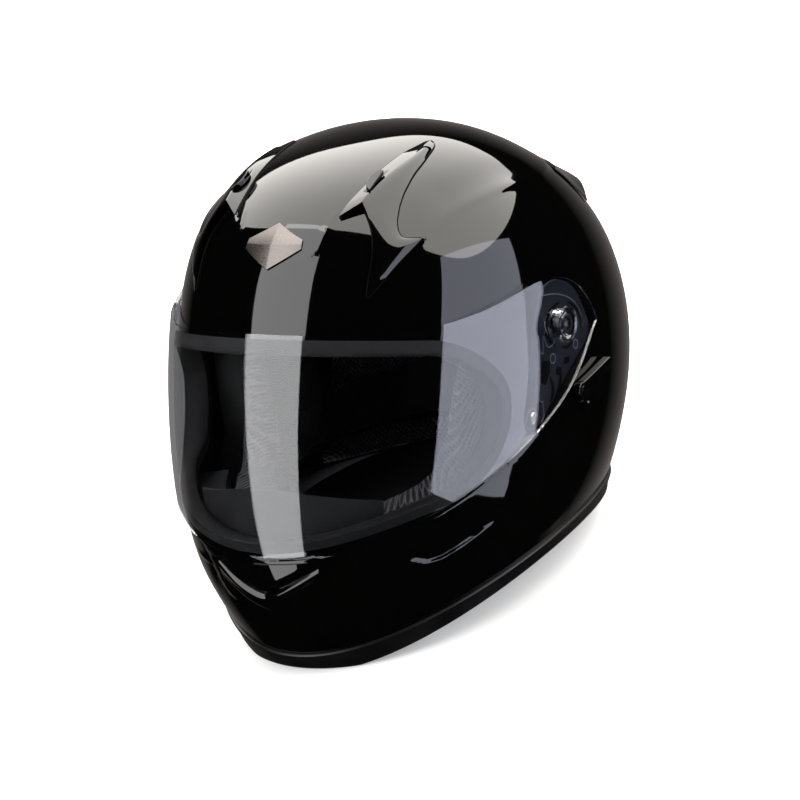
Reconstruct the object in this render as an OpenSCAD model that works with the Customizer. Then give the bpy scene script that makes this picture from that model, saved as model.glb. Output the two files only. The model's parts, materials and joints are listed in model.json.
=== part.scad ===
// Full-face motorcycle helmet standing on its bottom edge.
// Millimetres, +Z up, the wearer looks along -Y and the wearer's left is +X.
// Origin: on the ground plane, under the middle of the helmet's outer extents.

/* [Shell] */
// Thickness of the outer shell wall
shell_wall = 4; // [3:0.5:4.5]
// Depth from the outer skin to the inner face of the foam liner
foam_depth = 33; // [30:1:34]
// Clearance between layers that lie on each other
layer_gap = 0.8; // [0.6:0.1:1]
// Distance that moves the outer skin backwards or forwards to centre the helmet
y_shift = -3.9; // [-6:0.1:0]

/* [Eye port] */
// Half angle of the eye port around the helmet
port_half = 64; // [58:1:66]
// Height station of the corners of the eye port, crown 0 to rim 1
port_mid = 0.56; // [0.54:0.01:0.58]

/* [Visor] */
// Thickness of the clear visor
visor_wall = 2.2; // [1.8:0.1:2.4]
// Space between the skin and the inner face of the visor
visor_space = 3; // [2.8:0.1:3.2]
// Half angle of the visor around the helmet
visor_half = 95; // [92:1:96]
// Radius of the fixed pivot boss that each visor ring turns on
boss_r = 6; // [5:0.5:6]

/* [Padding] */
// Thickness of the comfort lining on the crown, brow and rear
lining = 9; // [6:1:12]
// Depth from the outer skin to the inner face of the cheek pads
cheek_depth = 58; // [50:1:60]

/* [Chin strap] */
// Width of the strap webbing
strap_w = 20; // [18:1:24]
// Thickness of the strap webbing
strap_t = 1.8; // [1.4:0.1:2]

/* [Hidden] */
$fn = 48;

// Control points of the outer skin from the crown to the rim:
// front and rear lines as [y, z], side line as [x, z].
front_line = [[8, 275], [-72, 268], [-117, 223], [-149, 154], [-167, 89], [-170, 42], [-153, 0]];
rear_line = [[8, 275], [70, 268], [132, 221], [179, 170], [184, 105], [156, 50], [138, 0]];
side_line = [[0, 275], [66, 268], [110, 228], [125, 161], [127, 98], [119, 52], [105, 28]];

// Length in mm of one degree round the skin and of one unit of height station
deg_mm = 2.15;
station_mm = 270;
shell_rim = 0.985;
trim_top = 0.957;
liner_out = shell_wall + layer_gap + 0.6;

// Visor axis, and the tilt and floor of the flat seat of each base plate
pivot = [118.5, y_shift - 9, 162.5];
// Corner of the flat pocket that holds the side plate
seat_at = [118.5, y_shift, 159];
seat_tilt = 5;
seat_r = 25;
seat_low = [-43.5, -42.5];
seat_low_r = 8.5;
seat_back = [14, -9];
seat_back_r = 12;
plate_t = 2.8;
ring_r = 9;
fit = 0.1;
lever_pin_r = 1.9;
latch_pin_r = 1.4;

// Release lever pivot and stop, relative to the side plate's corner in the side plane [y, z]
lever_at = [-3, -41];
stop_at = [6, -54];
lever_x = 126.6;
lever_t = 4.8;

// Vent slider: ends of its path on the skin as [angle, station]
slide_a = [50.5, 0.152];
slide_b = [40, 0.188];
slider_o = 4.6;

// ---- curves and the skin ----

function cube_blend(a, b, c, d, f) =
    (pow(1 - f, 3) * a + (3 * f * f * f - 6 * f * f + 4) * b
     + (-3 * f * f * f + 3 * f * f + 3 * f + 1) * c + f * f * f * d) / 6;

function spline_at(p, before, u) =
    let (n = len(p) - 1, i = min(floor(u), n - 1),
         a = i == 0 ? before : p[i - 1],
         d = i == n - 1 ? 2 * p[n] - p[n - 1] : p[i + 2])
    cube_blend(a, p[i], p[i + 1], d, u - i);

// Point on the outer skin: angle 0 front, 90 wearer's left; station 0 crown to 1 rim
function skin(angle, t) =
    let (u = 6 * max(0, min(1, t)),
         f = spline_at(front_line, rear_line[1], u),
         r = spline_at(rear_line, front_line[1], u),
         s = spline_at(side_line, [-side_line[1][0], side_line[1][1]], u),
         c = cos(angle), w = sin(angle),
         square_front = 0.018 - 0.048 * t,
         square_rear = 0.039 - 0.021 * t,
         k = square_rear + (square_front - square_rear) * (0.5 + 0.5 * c))
    [s[0] * w * (1 + k * c * c),
     y_shift + (f[0] + r[0]) / 2 - (r[0] - f[0]) / 2 * c * (1 + k * w * w),
     s[1] + ((c > 0 ? f[1] : r[1]) - s[1]) * c * c];

// Outward unit normal of the skin
function outward(angle, t) =
    t < 0.002 ? [0, 0, 1] :
    let (a = skin(angle + 0.25, t) - skin(angle - 0.25, t),
         b = skin(angle, min(t + 0.002, 1)) - skin(angle, t - 0.002),
         n = cross(b, a))
    n / norm(n);

function off_skin(angle, t, o) = skin(angle, t) + o * outward(angle, t);

function smooth(x) = let (c = max(0, min(1, x))) c * c * (3 - 2 * c);

// Edge station that closes in a rounded end between angles a1 and a2
function rounded_edge(angle, mid, edge, a1, a2) =
    let (a = abs(angle))
    mid + (edge - mid) * (a < a1 ? 1 : sqrt(max(0, 1 - pow((a - a1) / (a2 - a1), 2))));

function port_top(angle) =
    rounded_edge(angle, port_mid, 0.409 + 0.048 * pow(angle / 50, 2), port_half - 16, port_half);

function port_bottom(angle) =
    rounded_edge(angle, port_mid, 0.690 - 0.018 * pow(sin(1.5 * angle), 2), port_half - 16, port_half);

function visor_top(angle) =
    rounded_edge(angle, 0.53, 0.390 + 0.019 * (1 - cos(2.8 * angle)), visor_half - 21, visor_half);

function visor_bottom(angle) =
    rounded_edge(angle, 0.53, 0.708 - 0.020 * pow(abs(angle) / 46, 3), visor_half - 15, visor_half);

// Shell wall is thicker under the flat seats of the base plates
function wall_at(angle, t) =
    let (a = abs(angle > 180 ? angle - 360 : angle),
         b = 1 - pow((a - 76) / 30, 2) - pow((t - 0.55) / 0.19, 2))
    shell_wall + 6 * smooth(2 * b);

// Angles with steps that shrink towards both rounded ends
function span_angles(half, end, step) =
    let (flat = half - end, n = floor(flat / step),
         right = [for (k = [1:n]) flat * k / n],
         tip = [for (k = [15:15:90]) flat + end * sin(k)])
    concat([for (k = [len(tip) - 1:-1:0]) -tip[k]], [for (k = [n - 1:-1:0]) -right[k]],
           [0], right, tip);

function steps(a, b, n) = [for (k = [0:n]) a + (b - a) * k / n];

// ---- solids on the skin ----

function split(q) =
    [for (f = [[q[0], q[1], q[2]], [q[0], q[2], q[3]]])
        if (f[0] != f[1] && f[1] != f[2] && f[0] != f[2]) f];

// Closed wall between two offsets over a grid: angles, and stations(angle) down each column
module slab(angles, stations, o_out, o_in, wrap = false, pole = false) {
    nc = len(angles);
    nr = len(stations(angles[0]));
    points = [for (o = [o_out, o_in]) for (a = angles) for (t = stations(a)) off_skin(a, t, o(a, t))];
    id = function (s, i, j) s * nc * nr + (pole && j == 0 ? 0 : (i % nc) * nr) + j;
    last = wrap ? nc - 1 : nc - 2;
    skins = [for (i = [0:last]) for (j = [0:nr - 2])
        each concat(split([id(0, i, j), id(0, i + 1, j), id(0, i + 1, j + 1), id(0, i, j + 1)]),
                    split([id(1, i, j), id(1, i, j + 1), id(1, i + 1, j + 1), id(1, i + 1, j)]))];
    low = [for (i = [0:last])
        each split([id(0, i, nr - 1), id(0, i + 1, nr - 1), id(1, i + 1, nr - 1), id(1, i, nr - 1)])];
    high = pole ? [] : [for (i = [0:last])
        each split([id(0, i + 1, 0), id(0, i, 0), id(1, i, 0), id(1, i + 1, 0)])];
    ends = wrap ? [] : [for (j = [0:nr - 2])
        each concat(split([id(0, 0, j), id(0, 0, j + 1), id(1, 0, j + 1), id(1, 0, j)]),
                    split([id(0, nc - 1, j + 1), id(0, nc - 1, j), id(1, nc - 1, j), id(1, nc - 1, j + 1)]))];
    polyhedron(points, concat(skins, low, high, ends));
}

// Closed ring swept from a list of cross-sections that each have the same number of points
module swept_ring(sections) {
    n = len(sections);
    m = len(sections[0]);
    faces = [for (i = [0:n - 1]) for (j = [0:m - 1])
        each split([i * m + j, ((i + 1) % n) * m + j,
                    ((i + 1) % n) * m + (j + 1) % m, i * m + (j + 1) % m])];
    polyhedron([for (s = sections) each s], faces);
}

// Flat band that follows a path in space, with its width along Y
module band(path, width, thick) {
    n = len(path);
    side = function (i) let (a = path[max(0, i - 1)], b = path[min(n - 1, i + 1)],
                             d = [b[0] - a[0], 0, b[2] - a[2]]) [-d[2], 0, d[0]] / norm(d);
    points = [for (i = [0:n - 1]) let (u = side(i) * thick / 2, w = [0, width / 2, 0])
        each [path[i] + u - w, path[i] - u - w, path[i] - u + w, path[i] + u + w]];
    walls = [for (i = [0:n - 2]) for (k = [0:3])
        each split([4 * i + k, 4 * i + 4 + k, 4 * i + 4 + (k + 1) % 4, 4 * i + (k + 1) % 4])];
    polyhedron(points, concat(walls, split([0, 1, 2, 3]), split([4 * n - 1, 4 * n - 2, 4 * n - 3, 4 * n - 4])));
}

// Places children with their Z axis along the outward normal of the skin
module on_skin(angle, t, o = 0, spin = 0) {
    n = outward(angle, t);
    translate(off_skin(angle, t, o)) rotate([0, acos(n[2]), atan2(n[1], n[0])])
        rotate([0, 0, spin]) children();
}

// Places children at the visor axis, with 2D shapes lying in the side plane [y, z]
module at_pivot(x = 0) { translate([x, pivot[1], pivot[2]]) rotate([90, 0, 90]) children(); }
module at_seat(x = 0) { translate([x, seat_at[1], seat_at[2]]) rotate([90, 0, 90]) children(); }
module right_side() { mirror([1, 0, 0]) children(); }
module both_sides() { children(); right_side() children(); }

// ---- outer shell ----

port_angles = span_angles(port_half, 16, 6);
back_angles = [for (k = [1:29]) port_half + (360 - 2 * port_half) * k / 30];
dome_angles = concat([for (a = port_angles) if (a >= 0) a], back_angles,
                     [for (a = port_angles) if (a < 0) a]);

// Dome with the eye port left open between two sets of rows
module ported_dome(rows_up, rows_low) {
    all = concat(port_angles, back_angles);
    np = len(port_angles);
    nc = len(all);
    nr = rows_up + rows_low + 2;
    height = function (a, j) let (p = a > 180 ? a - 360 : a)
        j <= rows_up ? port_top(p) * j / rows_up
                     : port_bottom(p) + (shell_rim - port_bottom(p)) * (j - rows_up - 1) / rows_low;
    points = [for (s = [0, 1]) for (a = all) for (j = [0:nr - 1]) let (t = height(a, j))
        off_skin(a, t, s == 0 ? 0 : -wall_at(a, t))];
    id = function (s, i, j) let (c = i % nc, open = c > 0 && c < np - 1)
        s * nc * nr + (j == 0 ? 0 : c * nr) + (j == rows_up + 1 && !open ? rows_up : j);
    skins = [for (i = [0:nc - 1]) for (j = [0:nr - 2]) if (j != rows_up)
        each concat(split([id(0, i, j), id(0, i + 1, j), id(0, i + 1, j + 1), id(0, i, j + 1)]),
                    split([id(1, i, j), id(1, i, j + 1), id(1, i + 1, j + 1), id(1, i + 1, j)]))];
    rim = [for (i = [0:nc - 1])
        each split([id(0, i, nr - 1), id(0, i + 1, nr - 1), id(1, i + 1, nr - 1), id(1, i, nr - 1)])];
    port = [for (i = [0:np - 2])
        each concat(split([id(0, i, rows_up), id(0, i + 1, rows_up),
                           id(1, i + 1, rows_up), id(1, i, rows_up)]),
                    split([id(0, i + 1, rows_up + 1), id(0, i, rows_up + 1),
                           id(1, i, rows_up + 1), id(1, i + 1, rows_up + 1)]))];
    polyhedron(points, concat(skins, rim, port));
}

// Outline of the seat of a base plate, in the side plane about the visor axis
module seat_outline(inset) {
    hull() {
        translate([-3, 2]) circle(r = seat_r - inset);
        translate(seat_back) circle(r = seat_back_r - inset);
        translate(seat_low) circle(r = seat_low_r - inset);
    }
}

module seat_pocket() {
    translate(seat_at) rotate([0, 0, -seat_tilt]) rotate([90, 0, 90]) linear_extrude(30) seat_outline(0);
}

module outer_shell() {
    color("#0a0a0c") difference() {
        ported_dome(11, 8);
        both_sides() {
            seat_pocket();
            at_seat(110) translate(lever_at) cylinder(r = lever_pin_r + fit, h = 30);
            at_seat(110) translate(stop_at) cylinder(r = 1.6, h = 30);
            at_seat(108.8) translate(seat_low) cylinder(r = 2.3, h = 30);
            on_skin(42, 0.21, -12) cylinder(r = 5, h = 16);
            on_skin(62, 0.145, -12) cylinder(r = 5, h = 16);
            on_skin(166, 0.40, -12) translate([0, 0, 8]) cube([8, 26, 16], center = true);
        }
        translate([-18, -190, 63.5]) cube([36, 50, 7]);
    }
}

// Rubber channel on the bottom edge, flat where it stands on the ground
module bottom_edge_trim() {
    o_in = -(shell_wall + 2.3);
    section = [[2, 1, -3], [o_in, 1, -5], [o_in, trim_top, 0], [-shell_wall - 0.3, trim_top, 0],
               [-shell_wall - 0.3, 0.988, 0], [0.2, 0.988, 0], [0.2, trim_top, 0], [2, trim_top, 0]];
    color("#17171a") intersection() {
        swept_ring([for (a = dome_angles) [for (s = section) off_skin(a, s[1], s[0]) + [0, 0, s[2]]]]);
        translate([-200, -200, 0]) cube([400, 400, 80]);
    }
}

// Rubber moulding clipped over the edge of the eye port
module eye_port_gasket() {
    upper = [for (a = port_angles) [a, port_top(a)]];
    lower = [for (k = [len(port_angles) - 2:-1:1]) [port_angles[k], port_bottom(port_angles[k])]];
    path = concat(upper, lower);
    n = len(path);
    flat = function (p) [p[0] * deg_mm, p[1] * station_mm];
    // [distance outside the port edge, offset, 1 where the offset starts at the inner face]
    section = [[3.5, 1.8, 0], [-2, 2.2, 0], [-2, -3.6, 1], [4.5, -3.6, 1], [4.5, -0.8, 1],
               [-0.6, -0.8, 1], [-0.6, 0.5, 0], [3.5, 0.5, 0]];
    color("#2b2b2d") swept_ring([for (k = [0:n - 1])
        let (d = flat(path[(k + 1) % n]) - flat(path[(k + n - 1) % n]),
             away = [d[1], -d[0]] / norm(d), wall = wall_at(path[k][0], path[k][1]))
        [for (s = section) let (q = flat(path[k]) + s[0] * away)
            off_skin(q[0] / deg_mm, q[1] / station_mm, s[1] - s[2] * wall)]]);
}

// ---- visor and its mechanism ----

// The ends stand clear of the seat plates, most at the top, so that they swing past them
function visor_gap(angle, t) = visor_space + 1.4 * smooth((abs(angle) - 60) / 25)
    + 1.7 * smooth((abs(angle) - 68) / 14) * smooth((0.50 - t) / 0.06);

module visor() {
    color("#c9d4e2", 0.35) difference() {
        slab(span_angles(visor_half, 15, 5.2), function (a) steps(visor_top(a), visor_bottom(a), 9),
             function (a, t) visor_gap(a, t) + visor_wall, function (a, t) visor_gap(a, t));
        both_sides() at_pivot(110) cylinder(r = ring_r, h = 40);
    }
}

// Ring fixed in the visor that turns on the boss
module visor_pivot_left() {
    color("#c7cbd2") at_pivot(123.9) difference() {
        union() {
            cylinder(r = ring_r, h = 7.4);
            translate([0, 0, 7.4]) cylinder(r = 10.6, h = 0.9);
        }
        translate([0, 0, -1]) cylinder(r = boss_r + fit, h = 12);
    }
}
module visor_pivot_right() { right_side() visor_pivot_left(); }

// Slate-coloured plate in the flat seat of the shell, with the boss of the visor
module base_plate_left() {
    color("#23262d") difference() {
        union() {
            translate(seat_at + [0.2, 0, 0]) rotate([0, 0, -seat_tilt]) rotate([90, 0, 90]) difference() {
                linear_extrude(plate_t) seat_outline(0.4);
                translate([9.9, 23, 1]) rotate([-10.2, 4.6, 0]) translate([-60, -60, 0]) cube([120, 120, 20]);
            }
            at_pivot(119.4) cylinder(r = boss_r, h = 12.2);
        }
        at_pivot(100) cylinder(r = 2.2, h = 40);
        at_pivot(129) cylinder(r = 3.9, h = 10);
        at_seat(100) translate(seat_low) cylinder(r = 2.2, h = 40);
        at_seat(120.4) translate([-24, -16]) linear_extrude(10) circle(r = 5);
        at_seat(120) translate([-31, -30]) linear_extrude(10) circle(r = 4.5);
        at_seat(119.6) translate([6, 19]) linear_extrude(10) square([10, 5], center = true);
    }
}
module base_plate_right() { right_side() base_plate_left(); }

// Pan-head screw along Z with a six-sided socket
module screw(head_r, head_h, length) {
    difference() {
        union() {
            cylinder(r = 2.1, h = length);
            translate([0, 0, length]) cylinder(r = head_r, h = head_h);
        }
        translate([0, 0, length + head_h - 1.2]) cylinder(r = 1.5, h = 3, $fn = 6);
    }
}
module base_screws_left() {
    color("#c2c4c8") {
        at_pivot(120.5) screw(3.6, 1.8, 8.5);
        at_seat(109) translate(seat_low) screw(4.4, 2, 9.2);
    }
}
module base_screws_right() { right_side() base_screws_left(); }

// Curved bar that frees the visor when its rear end is pressed down
module release_lever_left() {
    bar = [[2, 4.4], [16, 5.2], [30, 6.2], [36, 6.6], [38, 4.6], [36, 1.6], [24, -0.6], [10, -3.6], [0, -5]];
    color("#0d0d10") difference() {
        at_seat(lever_x) translate(lever_at) {
            cylinder(r = 5, h = lever_t);
            linear_extrude(lever_t) polygon(bar);
        }
        at_seat(110) translate(lever_at) cylinder(r = lever_pin_r + fit, h = 40);
    }
}
module release_lever_right() { right_side() release_lever_left(); }

module lever_pin_left() {
    color("#8a8d92") at_seat(120) translate(lever_at) {
        cylinder(r = lever_pin_r, h = lever_x + lever_t + 0.3 - 120);
        translate([0, 0, lever_x + lever_t + 0.3 - 120]) cylinder(r = 2.9, h = 0.6);
    }
}
module lever_pin_right() { right_side() lever_pin_left(); }

module lever_stop_left() {
    color("#9a9da3") at_seat(121) translate(stop_at) {
        cylinder(r = 1.5, h = 5.2);
        translate([0, 0, 5.2]) cylinder(r = 2.4, h = 2.2);
    }
}
module lever_stop_right() { right_side() lever_stop_left(); }

// ---- ventilation ----

// Edges of the left top vent from its rear point to its front point, [angle, station]
vent_inner = [[100.5, 0.121], [88, 0.112], [67, 0.110], [45, 0.134], [34, 0.178],
              [26.5, 0.222], [36, 0.252], [36.8, 0.280], [33, 0.353]];
vent_outer = [[101.5, 0.124], [92, 0.141], [70, 0.160], [56, 0.195], [50, 0.230],
              [46.8, 0.262], [52.5, 0.291], [46, 0.310], [34, 0.358]];
vent_rise = [0, 1.2, 2.4, 3.4, 3.6, 3.2, 2.4, 1.6, 0.2];

function slide_axis() =
    let (d = skin(slide_b[0], slide_b[1]) - skin(slide_a[0], slide_a[1])) d / norm(d);

// Frame at the middle of the slider path, X along the path
module at_slider(o) {
    m = (slide_a + slide_b) / 2;
    n = outward(m[0], m[1]);
    tilt = acos(n[2]);
    turn = atan2(n[1], n[0]);
    d = slide_axis();
    fx = [cos(tilt) * cos(turn), cos(tilt) * sin(turn), -sin(tilt)];
    fy = [-sin(turn), cos(turn), 0];
    on_skin(m[0], m[1], o, atan2(d * fy, d * fx)) children();
}

module top_vent_left() {
    across = 4;
    n = len(vent_inner);
    points = [for (s = [1, 0]) for (i = [0:n - 1]) for (j = [0:across])
        let (v = j / across, p = vent_inner[i] + (vent_outer[i] - vent_inner[i]) * v)
        off_skin(p[0], p[1], s == 0 ? 1 : 1.8 + vent_rise[i] * (0.35 + 0.65 * sin(180 * v)))];
    m = across + 1;
    id = function (s, i, j) s * n * m + i * m + j;
    top = [for (i = [0:n - 2]) for (j = [0:across - 1])
        each concat(split([id(0, i, j), id(0, i, j + 1), id(0, i + 1, j + 1), id(0, i + 1, j)]),
                    split([id(1, i, j), id(1, i + 1, j), id(1, i + 1, j + 1), id(1, i, j + 1)]))];
    sides = [for (i = [0:n - 2])
        each concat(split([id(0, i + 1, 0), id(1, i + 1, 0), id(1, i, 0), id(0, i, 0)]),
                    split([id(0, i, across), id(1, i, across), id(1, i + 1, across), id(0, i + 1, across)]))];
    tips = [for (j = [0:across - 1])
        each concat(split([id(0, 0, j), id(1, 0, j), id(1, 0, j + 1), id(0, 0, j + 1)]),
                    split([id(0, n - 1, j + 1), id(1, n - 1, j + 1), id(1, n - 1, j), id(0, n - 1, j)]))];
    color("#0c0c0f") difference() {
        polyhedron(points, concat(top, sides, tips));
        at_slider(2.2) translate([0, 0, 10]) cube([30, 11, 20], center = true);
    }
}
module top_vent_right() { right_side() top_vent_left(); }

// Half-moon tab that slides along the slot of the vent cover
module vent_slider_left() {
    color("#101014") at_slider(2.6) translate([4, 0, 0]) {
        linear_extrude(3.2) intersection() {
            circle(r = 9.4);
            square([20, 9.6], center = true);
        }
        translate([3.4, 0, 3.2]) cube([2.6, 9, 2.4], center = true);
    }
}
module vent_slider_right() { right_side() vent_slider_left(); }

// V-shaped lower lip of the chin vent
function chin_v(angle) = 0.784 - 0.041 * (sqrt(angle * angle + 4) - 2) / 12.6;
function lip_size(angle) = 1 - 0.45 * smooth((abs(angle) - 4) / 14);

module chin_vent_lip() {
    color("#0b0b0e") slab(steps(-16.5, 16.5, 22),
        function (a) steps(chin_v(a) + 0.003, chin_v(a) + 0.003 + 0.044 * (0.62 + 0.38 * lip_size(a)), 3),
        function (a, t) 4.7 * lip_size(a), function (a, t) 0.3);
}

// Plate over the chin vent that tips open about its lower edge
module chin_vent_shutter() {
    color("#0c0c0f") slab(steps(-14.6, 14.6, 18), function (a) steps(0.7235, chin_v(a) - 0.0015, 4),
        function (a, t) 3.2, function (a, t) 0.9);
}

module chin_vent_grille() {
    color("#1b1b1d") translate([-17.7, y_shift - 165.3, 63.8]) difference() {
        cube([35.4, 2, 6.4]);
        for (k = [0:7]) translate([1.6 + 4.1 * k, -1, 1.2]) cube([3, 4, 4]);
    }
}

// Cowl over the two outlets at the back
module rear_exhaust() {
    color("#0b0b0e") difference() {
        slab(steps(131, 229, 20), function (a) steps(0.335, 0.405 + 0.03 * pow(cos(a * 1.8), 2), 5),
            function (a, t) 1.4 + 5.5 * smooth((t - 0.335) / 0.09) * smooth((50 - abs(a - 180)) / 16), function (a, t) 0.6);
        both_sides() on_skin(166, 0.425, 2.4) cube([24, 24, 2.6], center = true);
    }
}

// Plain metal lozenge on the forehead
module forehead_badge() {
    color("#b9b0a8") slab(steps(-12, 12, 12),
        function (a) steps(0.262 - 0.008 - 0.030 * (1 - abs(a) / 12),
                           0.262 + 0.008 + 0.030 * (1 - abs(a) / 12), 4),
        function (a, t) 2.2, function (a, t) 0.5);
}

// ---- liners and pads ----

function foam_edge(angle) =
    let (a = abs(angle > 180 ? angle - 360 : angle))
    a < 66 ? 0.37 + 0.045 * pow(a / 50, 2)
           : a < 74 ? 0.448 + (0.84 - 0.448) * (a - 66) / 8 : a < 110 ? 0.84 : 0.88;

module eps_main() {
    angles = concat(steps(-62, 62, 22), [66, 68, 71, 74], steps(82, 278, 24), [286, 289, 292, 294]);
    color("#2a2a2c") slab(angles, function (a) steps(0, foam_edge(a), 11),
        function (a, t) -1.5 * wall_at(a, t) + 0.5 * shell_wall - layer_gap - 1.4,
        function (a, t) -foam_depth, true, true);
}

module eps_chin() {
    color("#2a2a2c") slab(steps(-58, 58, 22), function (a) steps(port_bottom(a * 0.75) + 0.03, 0.945, 5),
        function (a, t) -liner_out, function (a, t) -24);
}

module crown_pad() {
    color("#1a1a1c") slab(steps(0, 348, 29), function (a) steps(0, 0.26, 5),
        function (a, t) -foam_depth - 3, function (a, t) -foam_depth - 3 - lining, true, true);
}

module brow_pad() {
    color("#1c1c1f") slab(steps(-56, 56, 22), function (a) steps(0.285, 0.355 + 0.045 * pow(a / 50, 2), 4),
        function (a, t) -foam_depth - 3, function (a, t) -foam_depth - 3 - lining);
}

module rear_pad() {
    color("#1a1a1c") slab(steps(104, 256, 24), function (a) steps(0.30, 0.78, 8),
        function (a, t) -foam_depth - 3, function (a, t) -foam_depth - 3 - lining);
}

// Cheek pad: low in front beside the chin, high along the temple
module cheek_pad_left() {
    rise = function (a) 0.70 - 0.23 * smooth((a - 56) / 10);
    color("#1d1d20") slab(steps(33, 100, 21), function (a) steps(rise(a), 0.86, 6),
        function (a, t) -27 - (foam_depth - 24) * smooth((a - 56) / 8),
        function (a, t) -cheek_depth + 14 * (1 - smooth((t - 0.45) / 0.25)));
}
module cheek_pad_right() { right_side() cheek_pad_left(); }

module neck_roll() {
    color("#1b1b1e") slab(steps(104, 256, 24), function (a) steps(0.895, 0.953, 3),
        function (a, t) -8, function (a, t) -38);
}

module breath_deflector() {
    color("#262629") slab(steps(-34, 34, 20), function (a) steps(0.600 + 0.050 * pow(abs(a) / 34, 1.5), 0.708, 4),
        function (a, t) -9, function (a, t) -11);
}

// Fabric skirt that closes the gap under the chin
module chin_curtain() {
    color("#19191b") slab(steps(-46, 46, 20), function (a) [0.962, 0.970],
        function (a, t) -8, function (a, t) -40 + 22 * pow(a / 46, 2));
}

// ---- chin strap ----

strap_y = y_shift - 20;
strap_path = [[101, strap_y + 12, 40], [92, strap_y + 8, 29], [76, strap_y + 3, 21],
              [60, strap_y, 16.5], [49, strap_y, 14.4]];
tongue_path = [[-49, strap_y, 14.4], [-30, strap_y, 11.8], [-8, strap_y, 10.9], [8, strap_y, 10.9]];

module strap_anchor_left() {
    color("#85888d") on_skin(86, 0.905, -7.4) difference() {
        cube([13, 24, 2], center = true);
        translate([2.4, 0, 0]) cube([3, 20, 6], center = true);
    }
}
module strap_anchor_right() { right_side() strap_anchor_left(); }

module chin_strap_left() { color("#131315") band(strap_path, strap_w, strap_t); }
module chin_strap_right() {
    mirrored = [for (k = [len(strap_path) - 1:-1:0]) [-strap_path[k][0], strap_path[k][1], strap_path[k][2]]];
    color("#131315") band(concat([for (k = [len(mirrored) - 1:-1:0]) mirrored[k]],
        [for (k = [1:3]) tongue_path[k]]), strap_w, strap_t);
}

// Soft pad above each strap, towards the throat
module strap_pad_left() {
    color("#1d1d20") band([for (p = [strap_path[1], strap_path[2], strap_path[3]]) p + [-1.5, 0, 4.4]],
        strap_w + 6, 5);
}
module strap_pad_right() { right_side() strap_pad_left(); }

// Ratchet buckle: housing on the left strap, toothed tongue on the right strap
buckle_at = [30, strap_y, 13];

module buckle_body() {
    color("#9fa2a7") translate(buckle_at) difference() {
        translate([0, 0, -1]) cube([36, 24, 9], center = true);
        translate([-6, 0, -0.4]) cube([40, 13.6, 3.4], center = true);
        translate([2, 0, 3.2]) cube([24, 14.4, 8], center = true);
        translate([8, 0, 1.4]) rotate([90, 0, 0]) cylinder(r = latch_pin_r + fit, h = 40, center = true);
        translate([16.4, 0, 1.4]) cube([8, strap_w + 0.8, 2.6], center = true);
    }
}

// Lever with its pawl; lifting the free end frees the tongue
module buckle_lever() {
    color("#b02025") translate(buckle_at + [8, 0, 1.4]) {
        rotate([90, 0, 0]) cylinder(r = latch_pin_r, h = 23.6, center = true);
        translate([-9, 0, 3.4]) cube([22, 13.6, 1.8], center = true);
        translate([-5.5, 0, 1.5]) cube([3, 13.6, 2.8], center = true);
        translate([0, 0, 1.5]) cube([2.4, 13.6, 3], center = true);
    }
}

module ratchet_tongue() {
    color("#1a1a1c") translate(buckle_at + [-14, 0, -0.4]) {
        translate([2, 0, 0]) cube([36, 12.6, 1.4], center = true);
        for (k = [0:7]) translate([-6 + 3 * k, 0, 0.9]) cube([1.4, 12.6, 0.6], center = true);
    }
}

// Snap studs that hold the removable pads on the foam
module liner_snaps() {
    color("#6d7075") both_sides() for (p = [[80, 0.52], [80, 0.80], [92, 0.66]])
        on_skin(p[0], p[1], -foam_depth - 2.7) cylinder(r = 4, h = 1.2);
}

outer_shell();
bottom_edge_trim();
eye_port_gasket();
visor();
visor_pivot_left();
visor_pivot_right();
base_plate_left();
base_plate_right();
base_screws_left();
base_screws_right();
release_lever_left();
release_lever_right();
lever_pin_left();
lever_pin_right();
lever_stop_left();
lever_stop_right();
top_vent_left();
top_vent_right();
vent_slider_left();
vent_slider_right();
chin_vent_lip();
chin_vent_shutter();
chin_vent_grille();
rear_exhaust();
forehead_badge();
eps_main();
eps_chin();
crown_pad();
brow_pad();
rear_pad();
cheek_pad_left();
cheek_pad_right();
neck_roll();
breath_deflector();
chin_curtain();
strap_anchor_left();
strap_anchor_right();
chin_strap_left();
chin_strap_right();
strap_pad_left();
strap_pad_right();
buckle_body();
buckle_lever();
ratchet_tongue();
liner_snaps();
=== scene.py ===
"""Looks of the full-face motorcycle helmet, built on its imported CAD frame."""

import json
import math

import bmesh
import bpy
import numpy as np
from mathutils import Matrix, Vector


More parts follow.
